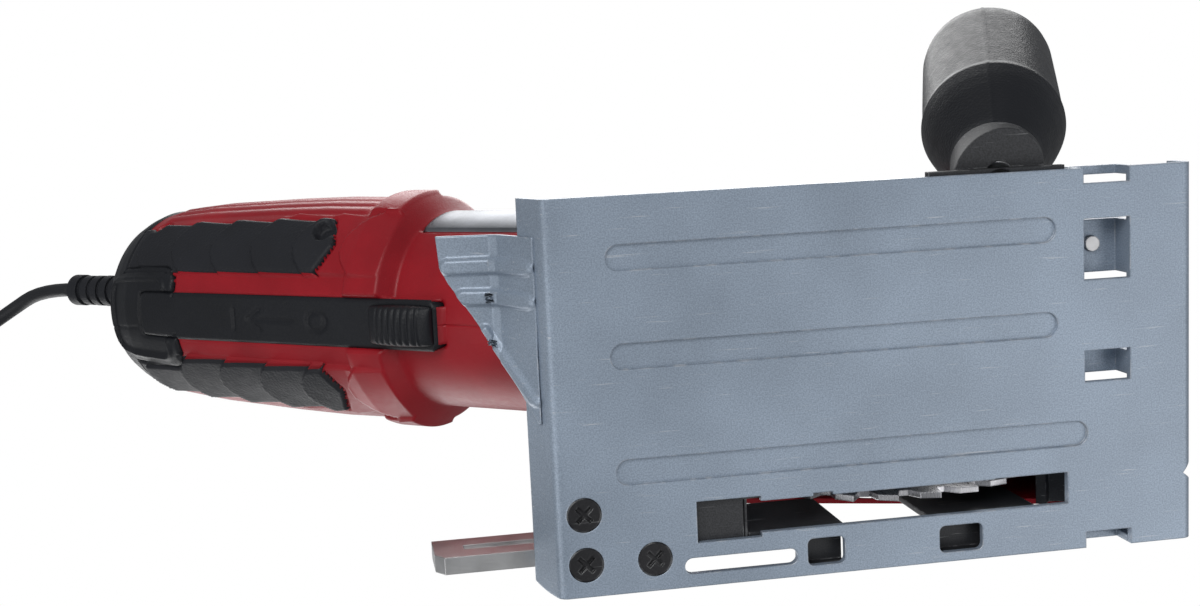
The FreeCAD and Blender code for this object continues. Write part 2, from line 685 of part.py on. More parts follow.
def housing_half(side):
    """One half of the motor housing, split on the upright plane through its axis."""
    outside = shell_profile(0.0)
    inside = shell_profile(SHELL_WALL)
    loop = [(outside[0][0], 0.0)] + outside + [(outside[-1][0], 0.0)]
    shell = body_turned(loop, -180)
    loop = [(inside[0][0] - 1, 0.0), (inside[0][0] - 1, inside[0][1])] + inside[1:]
    loop += [(inside[-1][0] + 1, inside[-1][1]), (inside[-1][0] + 1, 0.0)]
    shell = shell.cut(body_turned(loop))
    ribs = body_tube(90, 95, 31.0, STATOR_R)
    ribs = ribs.fuse(body_tube(118, 123, 31.0, STATOR_R))
    ribs = ribs.fuse(body_tube(184.0, 193.0, 34.5, 9.5))
    ribs = ribs.cut(box(-240, 0, BODY_Y - 12, BODY_Y + 12, -60, 1 - STATOR_R))
    shell = shell.fuse(ribs.common(box(-400, 0, BODY_Y, 200, -100, 100)))
    shell = shell.cut(box(-232.7, -126.0, BODY_Y - 8.0, BODY_Y + 8.0, -60, -27.0))
    for i in range(4):
        start = VENT_S0 + i * VENT_PITCH
        shell = shell.cut(box(-start - VENT_W, -start, -80, 80, -9, 9))
    if side > 0:
        return shell
    return without_screw_wells(shell.mirror(V(0, BODY_Y, 0), Y_AXIS))


def rear_cap():
    outside = [(SHELL_S1, 31.8), (268.0, 29.6), (272.6, 27.4), (277.5, 23.2)]
    outside += [(281.5, 17.0), (284.0, 11.0), (CAP_S1, 8.0)]
    loop = [(SHELL_S1, 0.0)] + outside + [(CAP_S1, 0.0)]
    cap = body_turned(loop)
    hollow = [(SHELL_S1 - 1, 0.0), (SHELL_S1 - 1, 28.8), (266.0, 27.0)]
    hollow += [(275.0, 20.0), (281.0, 9.0), (281.0, 0.0)]
    cap = cap.cut(body_turned(hollow))
    return cap.cut(body_rod(270, 300, 4.9, BOOT_Y))


def grip_pad(side):
    """Soft cover over one flank of the housing."""
    profile = [(168.0, 37.6), (200.0, 37.8), (240.0, 36.0), (256.0, 34.6), (261.5, 33.2)]
    inner = [(261.5, 32.0), (256.0, 33.4), (240.0, 34.8), (205.0, SHELL_R - 0.4), (168.0, SHELL_R)]
    pad = body_turned(profile + inner)
    window = box(-300, 0, 12.0, 80, -24.0, 30.0) if side > 0 else box(-300, 0, -80, -26.0, -24.0, 30.0)
    return without_screw_wells(pad.common(window))


def nameplate():
    """Thin metal plate on the right flank of the neck."""
    plate = body_tube(86.0, 142.0, NECK_R + 0.8, NECK_R)
    return plate.common(box(-150, 0, -80, -20.0, -14.0, 14.0))


def switch_rail():
    """Long black strip let into the underside, in which the switch slides."""
    rail = box(-232.5, -126.2, BODY_Y - 7.8, BODY_Y + 7.8, -35.6, -31.4)
    rail = rail.cut(box(-157.0, -130.8, BODY_Y - 3.2, BODY_Y + 3.2, -60, -20))
    return rail.removeSplitter()


def switch_slider():
    """Thumb piece that slides along the rail."""
    thumb = box(-151.0, -127.0, BODY_Y - 6.5, BODY_Y + 6.5, -40.2, -35.9)
    thumb = thumb.makeFillet(1.5, [e for e in thumb.Edges if e.BoundBox.ZLength > 3])
    for i in range(5):
        start = 131.0 + i * 3.6
        thumb = thumb.cut(box(-start - 1.4, -start, BODY_Y - 7, BODY_Y + 7, -42, -39.5))
    stem = box(-144.0, -132.0, BODY_Y - 2.9, BODY_Y + 2.9, -36.0, -30.2)
    return thumb.fuse(stem).removeSplitter()


def switch_link():
    """Push rod from the thumb piece back to the switch."""
    return box(-194.0, -132.0, BODY_Y - 2.5, BODY_Y + 2.5, -30.2, -28.0)


def switch_body():
    return box(-236.0, -207.0, BODY_Y - 8.0, BODY_Y + 8.0, -27.0, -5.0)


def stator():
    core = body_tube(96, 140, STATOR_R, 20.2)
    return core


def field_coils():
    front = body_tube(89, 96, 25.5, 20.6)
    back = body_tube(140, 147, 25.5, 20.6)
    return Part.makeCompound([front, back])


def armature_shaft():
    return body_rod(15.8, 193.5, 3.5).fuse(body_rod(9.6, 15.8, 2.5)).removeSplitter()


def armature_core():
    core = body_rod(97, 139, 19.7)
    for i in range(12):
        slot = box(-140, -96, BODY_Y - 0.9, BODY_Y + 0.9, 17.0, 25)
        slot.rotate(V(0, BODY_Y, 0), X_AXIS, i * 30.0)
        core = core.cut(slot)
    return core.cut(body_rod(0, 300, 3.5))


def cooling_fan():
    hub = body_tube(70, 78, 9.0, 3.5)
    fan = hub.fuse(body_tube(76.5, 78, 26.0, 8.0))
    for i in range(9):
        blade = box(-77, -68, BODY_Y - 0.8, BODY_Y + 0.8, 8.5, 26)
        blade.rotate(V(0, BODY_Y, 0), X_AXIS, i * 40.0)
        fan = fan.fuse(blade)
    return fan.removeSplitter()


def commutator():
    return body_tube(158, 173, 12.0, 3.5)


def carbon_brushes():
    left = box(-168.5, -162.5, BODY_Y + 12.3, BODY_Y + 24.0, -3.4, 3.4)
    right = box(-168.5, -162.5, BODY_Y - 24.0, BODY_Y - 12.3, -3.4, 3.4)
    return Part.makeCompound([left, right])


def brush_holders():
    holders = []
    for low, high in ((BODY_Y + 14.0, BODY_Y + 28.0), (BODY_Y - 28.0, BODY_Y - 14.0)):
        holder = box(-170.3, -160.7, low, high, -5.2, 5.2)
        holders.append(holder.cut(box(-168.5, -162.5, low - 1, high + 1, -3.4, 3.4)))
    return Part.makeCompound(holders)


def housing_screws():
    """Screws that draw the two halves together, from the right."""
    return Part.makeCompound([rod(p, Y_AXIS, 2.6, 2.4) for p in housing_screw_seats()])


def housing_screw_seats():
    seats = []
    for s, z in HOUSING_SCREWS:
        depth = math.sqrt(SCREW_SEAT_R ** 2 - z ** 2)
        seats.append(V(-s, BODY_Y - depth, z))
    return seats


def without_screw_wells(shape):
    """Cuts the wells that the housing screws sit in."""
    for seat in housing_screw_seats():
        shape = shape.cut(rod(seat + Y_AXIS * 2.4, Y_AXIS * -1.0, SCREW_WELL_R, 24.0))
    return shape


def guard_screws():
    screws = []
    for x, z in guard_screw_places():
        head = rod(V(x, GUARD_Y1, z), Y_AXIS, 2.6, 1.5)
        screws.append(head.fuse(rod(V(x, GUARD_Y1 - COVER_T, z), Y_AXIS, 1.6, COVER_T)))
    return Part.makeCompound(screws)


def cord_boot():
    """Ribbed strain relief where the cord leaves the rear cap."""
    length = BOOT_S1 - 279.0
    boot = body_rod(279.0, BOOT_S1, 4.85, BOOT_Y)
    boot = boot.fuse(body_rod(CAP_S1 + 0.3, CAP_S1 + 4.0, 6.6, BOOT_Y))
    for i in range(5):
        start = CAP_S1 + 6.2 + i * 5.2
        boot = boot.fuse(body_rod(start, start + 3.4, 6.1 - 0.12 * i, BOOT_Y))
    boot = boot.fuse(body_rod(BOOT_S1 - 4.6, BOOT_S1, 5.9, BOOT_Y))
    flange = body_rod(276.5, 280.6, 7.0, BOOT_Y)
    return boot.fuse(flange).removeSplitter()


def cord_clamp():
    clamp = box(-272.0, -262.0, BOOT_Y - 9, BOOT_Y + 9, 3.0, 6.0)
    return clamp


# ---------------------------------------------------------------- power cord


def cord_points():
    """The route of the cord from the boot down to the surface and to the coil."""
    start = head_point(BOOT_S1, BOOT_Y)
    rise = V(-math.cos(math.radians(HEAD_TILT)), 0, math.sin(math.radians(HEAD_TILT)))
    floor = CORD_D / 2.0 + 0.05
    return [
        start,
        start + rise * 20.0,
        V(-265.4, 0.0, 276.0),
        V(-283.6, 11.4, 274.1),
        V(-299.2, 19.7, 260.2),
        V(-307.5, 23.7, 234.8),
        V(-309.5, 26.5, 198.0),
        V(-308.0, 28.5, 156.0),
        V(-309.5, 31.0, 113.0),
        V(-308.5, 30.0, 75.0),
        V(-311.0, 26.5, 45.0),
        V(-312.5, 18.5, 23.0),
        V(-313.7, 4.5, 10.3),
        V(-314.9, -12.0, floor),
        V(-315.4, -28.5, floor),
    ]


def run_path(points):
    """Straight runs joined by tangent arcs; prints each radius."""
    edges = []
    radii = []
    start = points[0]
    for i in range(1, len(points) - 1):
        a = points[i - 1] - points[i]
        b = points[i + 1] - points[i]
        shorter = min(a.Length, b.Length)
        a.normalize()
        b.normalize()
        half_turn = (math.pi - a.getAngle(b)) / 2.0
        back = 0.45 * shorter
        radius = back / math.tan(half_turn)
        radii.append(radius)
        p = points[i] + a * back
        q = points[i] + b * back
        middle = (a + b).normalize()
        top = points[i] + middle * (radius / math.cos(half_turn) - radius)
        edges.append(Part.LineSegment(start, p).toShape())
        edges.append(Part.Arc(p, top, q).toShape())
        start = q
    edges.append(Part.LineSegment(start, points[-1]).toShape())
    print("cord radii in diameters:", [round(r / CORD_D, 1) for r in radii])
    return Part.Wire(edges)


def cord_tube():
    points = cord_points()
    path = run_path(points)
    direction = points[1] - points[0]
    profile = Part.Wire([Part.makeCircle(CORD_D / 2.0, points[0], direction)])
    tube_shape = path.makePipeShell([profile], True, False)
    expected = math.pi * CORD_D ** 2 / 4.0 * path.Length
    print("cord length", round(path.Length), "volume share", round(tube_shape.Volume / expected, 4))
    return tube_shape


def coil_centre():
    """Centre of the coil, whose outer turn the cord runs into."""
    end = cord_points()[-1]
    radius = COIL_TURN_R + COIL_SECTION_R - CORD_D / 2.0
    return V(end.x + radius, end.y - ENTRY_L, 0.05)


def cord_coil():
    """Outer shape of the wound cord, with the short ends that enter and leave it."""
    centre = coil_centre()
    outer = COIL_TURN_R + COIL_SECTION_R
    ring = tube(centre, Z_AXIS, outer, COIL_TURN_R - COIL_SECTION_R, COIL_H)
    ring = ring.makeFillet(3.5, [e for e in ring.Edges if e.BoundBox.ZLength < 0.1 and e.Length > 50])
    points = cord_points()
    end = points[-1]
    along = (end - points[-2]).normalize()
    ring = ring.fuse(rod(end, along, CORD_D / 2.0, ENTRY_L))
    leave = V(centre.x + outer - CORD_D / 2.0, centre.y, end.z)
    ring = ring.fuse(rod(leave, Y_AXIS, CORD_D / 2.0, LEAD_OUT))
    return ring.removeSplitter()


def beside_coil(shape):
    """Turns a shape that points along +X to +Y and puts it at the end of the coil's lead."""
    centre = coil_centre()
    shape.rotate(ORIGIN, Z_AXIS, 90)
    shape.translate(V(centre.x + COIL_TURN_R + COIL_SECTION_R - CORD_D / 2.0, centre.y + LEAD_OUT, 0))
    return shape


def plug():
    """Flat moulded two-pin plug on the end of the lead."""
    half = PLUG_W / 2.0
    neck = Part.makeCone(CORD_D / 2.0 + 0.9, CORD_D / 2.0 + 1.9, 12.0, V(0, 0, half), X_AXIS)
    outline = [(10.0, -4.4), (16.0, -8.0), (PLUG_L, -13.0), (PLUG_L, 13.0), (16.0, 8.0), (10.0, 4.4)]
    body = prism([V(x, y, 0.0) for x, y in outline], V(0, 0, PLUG_W))
    body = body.makeFillet(2.5, [e for e in body.Edges if abs(e.tangentAt(e.FirstParameter).z) > 0.9])
    return beside_coil(body.fuse(neck).removeSplitter())


def plug_pins():
    pins = [rod(V(PLUG_L, y, PLUG_W / 2.0), X_AXIS, 2.0, 19.0) for y in (-9.5, 9.5)]
    return beside_coil(Part.makeCompound(pins))


def main():
    save(base_plate(), "base_plate")
    save(guide_straps(), "guide_straps")
    save(finger_guard(), "finger_guard")
    save(rear_bracket(), "rear_bracket")
    save(slot_fences(), "slot_fences")
    save(Part.makeCompound([countersunk(x, y) for x, y in SOLE_SCREWS]), "sole_screws")
    save(hinge_bracket(), "hinge_bracket")
    save(hinge_pin(), "hinge_pin")
    save(return_spring(), "return_spring")
    save(knob_bracket(), "knob_bracket")
    save(front_knob(), "front_knob")
    save(knob_stud(), "knob_stud")
    save(guide_clamp_screw(), "guide_clamp_screw")
    save(depth_bar(), "depth_bar")
    save(depth_clamp(), "depth_clamp_screw")

    save(in_head(blade_guard()), "blade_guard")
    save(in_head(guard_cover()), "guard_cover")
    save(in_head(dust_port()), "dust_port")
    save(in_head(gear_housing()), "gear_housing")
    save(in_head(gear_cover()), "gear_cover")
    save(in_head(gear_cover_screws()), "gear_cover_screws")
    save(in_head(spindle()), "spindle")
    save(in_head(bevel_gear()), "bevel_gear")
    save(in_head(pinion()), "pinion")
    save(in_head(saw_blade()), "saw_blade")
    save(in_head(inner_flange()), "inner_flange")
    save(in_head(outer_flange()), "outer_flange")
    save(in_head(blade_bolt()), "blade_bolt")
    save(in_head(lock_button()), "lock_button")
    save(in_head(lock_spring()), "lock_spring")
    save(in_head(spindle_bearings()), "spindle_bearings")
    save(in_head(armature_bearings()), "armature_bearings")
    save(in_head(carbon_brushes()), "carbon_brushes")
    save(in_head(brush_holders()), "brush_holders")
    save(in_head(housing_screws()), "housing_screws")
    save(in_head(guard_screws()), "guard_screws")
    save(in_head(housing_half(-1)), "housing_right")
    save(in_head(housing_half(1)), "housing_left")
    save(in_head(rear_cap()), "rear_cap")
    save(in_head(grip_pad(-1)), "grip_right")
    save(in_head(grip_pad(1)), "grip_left")
    save(in_head(nameplate()), "nameplate")
    save(in_head(switch_rail()), "switch_rail")
    save(in_head(switch_slider()), "switch_slider")
    save(in_head(switch_link()), "switch_link")
    save(in_head(switch_body()), "switch_body")
    save(in_head(stator()), "stator")
    save(in_head(field_coils()), "field_coils")
    save(in_head(armature_shaft()), "armature_shaft")
    save(in_head(armature_core()), "armature_core")
    save(in_head(cooling_fan()), "cooling_fan")
    save(in_head(commutator()), "commutator")
    save(in_head(cord_boot()), "cord_boot")
    save(in_head(cord_clamp()), "cord_clamp")
    save(cord_tube(), "cord")
    save(cord_coil(), "cord_coil")
    save(plug(), "plug")
    save(plug_pins(), "plug_pins")


main()
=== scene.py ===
"""A compact in-line plunge saw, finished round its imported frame: moulded motor body, grips, knob, guard, cord and stage."""
import json
import math

import bmesh
import bpy
import numpy as np
from bpy.props import FloatProperty, FloatVectorProperty, IntProperty, PointerProperty
from mathutils import Matrix, Vector


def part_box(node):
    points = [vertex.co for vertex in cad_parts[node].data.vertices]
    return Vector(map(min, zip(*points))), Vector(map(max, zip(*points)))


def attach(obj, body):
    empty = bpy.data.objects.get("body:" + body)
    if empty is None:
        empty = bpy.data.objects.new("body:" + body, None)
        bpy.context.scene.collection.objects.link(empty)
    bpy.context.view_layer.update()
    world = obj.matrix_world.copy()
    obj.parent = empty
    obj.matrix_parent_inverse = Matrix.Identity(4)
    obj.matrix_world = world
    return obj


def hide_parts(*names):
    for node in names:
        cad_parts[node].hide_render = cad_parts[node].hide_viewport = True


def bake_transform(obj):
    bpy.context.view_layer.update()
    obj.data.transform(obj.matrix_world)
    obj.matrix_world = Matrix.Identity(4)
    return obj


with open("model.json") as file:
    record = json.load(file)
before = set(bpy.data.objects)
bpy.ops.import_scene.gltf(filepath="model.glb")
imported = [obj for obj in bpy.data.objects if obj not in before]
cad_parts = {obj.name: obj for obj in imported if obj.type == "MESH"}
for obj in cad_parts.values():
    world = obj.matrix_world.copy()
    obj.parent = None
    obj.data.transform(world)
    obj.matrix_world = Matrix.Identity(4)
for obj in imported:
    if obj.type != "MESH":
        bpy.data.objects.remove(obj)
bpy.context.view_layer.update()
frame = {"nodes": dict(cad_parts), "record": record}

bl_info = {
    "name": "Compact Plunge Saw",
    "version": (1, 0, 0),
    "blender": (4, 5, 0),
    "location": "View3D > Sidebar > Plunge Saw",
    "description": "Builds the outer skins, finishes, cord and stage of a compact in-line plunge saw",
    "category": "Object",
}

MM = 0.001
JOINTS = {j["name"]: j for j in frame["record"]["behaviour"]["joints"]}

# The motor body's own axes: s runs back from the blade axis, angle 0 faces the work, +90 the blade side
AHEAD = Vector(JOINTS["armature_spin"]["axis"]).normalized()
SIDE = Vector((0, 1, 0))
CROWN = AHEAD.cross(SIDE).normalized()
BLADE_AXIS = Vector(JOINTS["blade_spin"]["pos_m"])
BODY_Y = Vector(JOINTS["armature_spin"]["pos_m"]).y
HEAD_ORIGIN = Vector((BLADE_AXIS.x, BODY_Y, BLADE_AXIS.z))

NODES = frame["nodes"]


class SawSizes(bpy.types.PropertyGroup):
    skin_pitch: FloatProperty(
        name="Skin pitch", description="Spacing of the body skin's mesh points, in millimetres",
        default=0.6, min=0.3, max=3.0)
    neck_radius: FloatProperty(
        name="Neck radius", description="Radius of the slim front of the motor body, in millimetres", default=32.0)
    block_radius: FloatProperty(
        name="Shoulder radius", description="Radius of the bold shoulder behind the neck, in millimetres", default=37.4)
    groove: FloatProperty(
        name="Parting groove", description="Depth of the rounded groove between mouldings, in millimetres", default=0.8)
    scale_pitch: FloatProperty(
        name="Grip scale pitch", description="Length of one overlapping grip scale, in millimetres", default=18.5)
    scale_rise: FloatProperty(
        name="Grip scale rise", description="Height of the step between grip scales, in millimetres", default=1.7)
    knob_segments: IntProperty(
        name="Knob segments", description="Number of facets round the front knob", default=180, min=24)


class CordSizes(bpy.types.PropertyGroup):
    diameter: FloatProperty(
        name="Cord diameter", description="Outer diameter of the cord's sheath", default=5.2 * MM, unit="LENGTH")
    turn_radius: FloatProperty(
        name="Coil radius", description="Radius of the middle of the coil's turns", default=30.0 * MM, unit="LENGTH")
    turn_gap: FloatProperty(
        name="Turn spacing", description="Distance between neighbouring turns", default=5.35 * MM, unit="LENGTH")
    points_per_turn: IntProperty(
        name="Points per turn", description="Control points in one turn of the coil", default=16, min=12)


class SawFinish(bpy.types.PropertyGroup):
    sole: FloatVectorProperty(
        name="Sole paint", description="Blue-grey enamel on the sole", subtype="COLOR", default=(0.258, 0.312, 0.385))
    housing: FloatVectorProperty(
        name="Housing", description="Deep red moulded plastic", subtype="COLOR", default=(0.30, 0.007, 0.014))
    hard_black: FloatVectorProperty(
        name="Black plastic", description="Textured black plastic", subtype="COLOR", default=(0.008, 0.009, 0.012))
    soft_black: FloatVectorProperty(
        name="Soft grip", description="Soft over-moulded grip", subtype="COLOR", default=(0.013, 0.014, 0.018))
    steel: FloatVectorProperty(
        name="Steel", description="Bare machined steel", subtype="COLOR", default=(0.55, 0.55, 0.56))
    alloy: FloatVectorProperty(
        name="Cast alloy", description="Die-cast gear case", subtype="COLOR", default=(0.42, 0.44, 0.47))
    copper: FloatVectorProperty(
        name="Copper", description="Windings and commutator", subtype="COLOR", default=(0.62, 0.30, 0.16))


def body_point(s, angle, radius):
    """A point on the motor body: s and radius in millimetres, angle in radians from the side facing the work."""
    across = SIDE * (radius * math.sin(angle)) - CROWN * (radius * math.cos(angle))
    return HEAD_ORIGIN - AHEAD * (s * MM) + across * MM


def body_points(s, angle, radius):
    """The same for arrays, as rows of x, y, z in metres."""
    origin, ahead = np.array(HEAD_ORIGIN), np.array(AHEAD)
    side, crown = np.array(SIDE), np.array(CROWN)
    flat = origin - (s * MM)[..., None] * ahead
    flat = flat + (radius * np.sin(angle) * MM)[..., None] * side
    return flat - (radius * np.cos(angle) * MM)[..., None] * crown


def new_object(name, vertices, faces, material, smooth=True):
    mesh = bpy.data.meshes.new(name)
    mesh.from_pydata([tuple(v) for v in vertices], [], [tuple(f) for f in faces])
    mesh.update()
    obj = bpy.data.objects.new(name, mesh)
    bpy.context.scene.collection.objects.link(obj)
    mesh.materials.append(material)
    if smooth:
        mesh.polygons.foreach_set("use_smooth", [True] * len(mesh.polygons))
    return obj


def apply_modifiers(obj):
    """Turns the object's modifiers into plain mesh."""
    graph = bpy.context.evaluated_depsgraph_get()
    mesh = bpy.data.meshes.new_from_object(obj.evaluated_get(graph))
    old = obj.data
    obj.modifiers.clear()
    obj.data = mesh
    mesh.name = obj.name
    bpy.data.meshes.remove(old)


def soft_step(x, low, high):
    t = np.clip((x - low) / (high - low), 0.0, 1.0)
    return t * t * (3.0 - 2.0 * t)


def band(x, low, high):
    """Distance inside a band, negative outside it."""
    return np.minimum(x - low, high - x)


def rounded_box(u, v, u0, u1, v0, v1, corner):
    """Distance inside a rectangle with rounded corners, negative outside it."""
    du = np.abs(u - (u0 + u1) / 2) - (u1 - u0) / 2 + corner
    dv = np.abs(v - (v0 + v1) / 2) - (v1 - v0) / 2 + corner
    outside = np.hypot(np.maximum(du, 0), np.maximum(dv, 0)) + np.minimum(np.maximum(du, dv), 0)
    return corner - outside


def stroke(u, v, start, end):
    """Distance from a straight stroke."""
    a, b = np.array(start), np.array(end)
    d = b - a
    t = np.clip(((u - a[0]) * d[0] + (v - a[1]) * d[1]) / (d @ d), 0, 1)
    return np.hypot(u - a[0] - t * d[0], v - a[1] - t * d[1])


# ---------------------------------------------------------------- materials


def painted_metal(name, colour, roughness, worn_colour, wear, speckle):
    """Sprayed enamel on steel: fine speckle, soft blotches, scratches, and wear along the edges."""
    material = bpy.data.materials.new(name)
    material.use_nodes = True
    tree = material.node_tree
    tree.nodes.clear()
    nodes, links = tree.nodes, tree.links

    out = nodes.new("ShaderNodeOutputMaterial")
    out.label = "Surface"
    paint = nodes.new("ShaderNodeBsdfPrincipled")
    paint.label = "Enamel"
    place = nodes.new("ShaderNodeTexCoord")
    place.label = "Place on the part"

    tone_frame = nodes.new("NodeFrame")
    tone_frame.label = "Paint tone"
    blotch = nodes.new("ShaderNodeTexNoise")
    blotch.label = "Uneven spray"
    blotch.inputs["Scale"].default_value = 28.0
    blotch.inputs["Detail"].default_value = 5.0
    grain = nodes.new("ShaderNodeTexNoise")
    grain.label = "Metallic speckle"
    grain.inputs["Scale"].default_value = 2600.0
    grain.inputs["Detail"].default_value = 2.0
    tone = nodes.new("ShaderNodeValToRGB")
    tone.label = "Light and dark spray"
    tone.color_ramp.elements[0].position = 0.32
    tone.color_ramp.elements[0].color = (*[c * 0.88 for c in colour], 1)
    tone.color_ramp.elements[1].position = 0.70
    tone.color_ramp.elements[1].color = (*[min(c * 1.10, 1) for c in colour], 1)
    flecks = nodes.new("ShaderNodeMapRange")
    flecks.label = "Speckle strength"
    flecks.inputs["From Min"].default_value = 0.35
    flecks.inputs["From Max"].default_value = 0.65
    flecks.inputs["To Min"].default_value = 1.0 - speckle
    flecks.inputs["To Max"].default_value = 1.0 + speckle
    speckled = nodes.new("ShaderNodeMix")
    speckled.label = "Speckle on tone"
    speckled.data_type = "RGBA"
    speckled.blend_type = "MULTIPLY"
    speckled.inputs["Factor"].default_value = 1.0
    for node in (blotch, grain, tone, flecks, speckled):
        node.parent = tone_frame

    scratch_frame = nodes.new("NodeFrame")
    scratch_frame.label = "Sliding scratches"
    stretch = nodes.new("ShaderNodeMapping")
    stretch.label = "Drawn out along the cut"
    stretch.inputs["Scale"].default_value = (0.9, 26.0, 9.0)
    stretch.inputs["Rotation"].default_value = (0, 0, 0.06)
    scratch = nodes.new("ShaderNodeTexNoise")
    scratch.label = "Scratch lines"
    scratch.inputs["Scale"].default_value = 55.0
    scratch.inputs["Detail"].default_value = 6.0
    scratch.inputs["Roughness"].default_value = 0.62
    lines = nodes.new("ShaderNodeMapRange")
    lines.label = "Only the deepest"
    lines.inputs["From Min"].default_value = 0.63
    lines.inputs["From Max"].default_value = 0.72
    for node in (stretch, scratch, lines):
        node.parent = scratch_frame

    edge_frame = nodes.new("NodeFrame")
    edge_frame.label = "Worn edges"
    rounded = nodes.new("ShaderNodeBevel")
    rounded.label = "Softened edge"
    rounded.samples = 6
    rounded.inputs["Radius"].default_value = 0.0006
    shape = nodes.new("ShaderNodeNewGeometry")
    shape.label = "True facing"
    facing = nodes.new("ShaderNodeVectorMath")
    facing.label = "How far the edge turns"
    facing.operation = "DOT_PRODUCT"
    edge = nodes.new("ShaderNodeMapRange")
    edge.label = "Edge mask"
    edge.inputs["From Min"].default_value = 0.995
    edge.inputs["From Max"].default_value = 0.86
    patch = nodes.new("ShaderNodeTexNoise")
    patch.label = "Broken wear"
    patch.inputs["Scale"].default_value = 260.0
    patch.inputs["Detail"].default_value = 4.0
    chipped = nodes.new("ShaderNodeMapRange")
    chipped.label = "Where paint has gone"
    chipped.inputs["From Min"].default_value = 0.48
    chipped.inputs["From Max"].default_value = 0.62
    worn = nodes.new("ShaderNodeMath")
    worn.label = "Worn edge"
    worn.operation = "MULTIPLY"
    both = nodes.new("ShaderNodeMath")
    both.label = "Edges and scratches"
    both.operation = "MAXIMUM"
    amount = nodes.new("ShaderNodeMath")
    amount.label = "Wear amount"
    amount.operation = "MULTIPLY"
    amount.inputs[1].default_value = wear
    bare = nodes.new("ShaderNodeMix")
    bare.label = "Paint to bare metal"
    bare.data_type = "RGBA"
    bare.inputs["B"].default_value = (*worn_colour, 1)
    for node in (rounded, shape, facing, edge, patch, chipped, worn, both, amount, bare):
        node.parent = edge_frame

    relief_frame = nodes.new("NodeFrame")
    relief_frame.label = "Gloss and relief"
    peel = nodes.new("ShaderNodeTexNoise")
    peel.label = "Orange peel"
    peel.inputs["Scale"].default_value = 900.0
    peel.inputs["Detail"].default_value = 3.0
    sheen = nodes.new("ShaderNodeMapRange")
    sheen.label = "Uneven gloss"
    sheen.inputs["To Min"].default_value = roughness - 0.07
    sheen.inputs["To Max"].default_value = roughness + 0.09
    relief = nodes.new("ShaderNodeBump")
    relief.label = "Sprayed texture"
    relief.inputs["Strength"].default_value = 0.16
    relief.inputs["Distance"].default_value = 0.00025
    for node in (peel, sheen, relief):
        node.parent = relief_frame

    paint.inputs["Metallic"].default_value = 0.25
    paint.inputs["Specular IOR Level"].default_value = 0.5
    for target in (blotch, grain, patch, peel):
        links.new(place.outputs["Object"], target.inputs["Vector"])
    links.new(place.outputs["Object"], stretch.inputs["Vector"])
    links.new(stretch.outputs["Vector"], scratch.inputs["Vector"])
    links.new(blotch.outputs["Fac"], tone.inputs["Fac"])
    links.new(grain.outputs["Fac"], flecks.inputs["Value"])
    links.new(tone.outputs["Color"], speckled.inputs["A"])
    links.new(flecks.outputs["Result"], speckled.inputs["B"])
    links.new(scratch.outputs["Fac"], lines.inputs["Value"])
    links.new(rounded.outputs["Normal"], facing.inputs[0])
    links.new(shape.outputs["Normal"], facing.inputs[1])
    links.new(facing.outputs["Value"], edge.inputs["Value"])
    links.new(patch.outputs["Fac"], chipped.inputs["Value"])
    links.new(edge.outputs["Result"], worn.inputs[0])
    links.new(chipped.outputs["Result"], worn.inputs[1])
    links.new(worn.outputs["Value"], both.inputs[0])
    links.new(lines.outputs["Result"], both.inputs[1])
    links.new(both.outputs["Value"], amount.inputs[0])
    links.new(amount.outputs["Value"], bare.inputs["Factor"])
    links.new(speckled.outputs["Result"], bare.inputs["A"])
    links.new(bare.outputs["Result"], paint.inputs["Base Color"])
    links.new(blotch.outputs["Fac"], sheen.inputs["Value"])
    links.new(sheen.outputs["Result"], paint.inputs["Roughness"])
    links.new(peel.outputs["Fac"], relief.inputs["Height"])
    links.new(rounded.outputs["Normal"], relief.inputs["Normal"])
    links.new(relief.outputs["Normal"], paint.inputs["Normal"])
    links.new(paint.outputs["BSDF"], out.inputs["Surface"])
    spread_nodes(nodes)
    return material


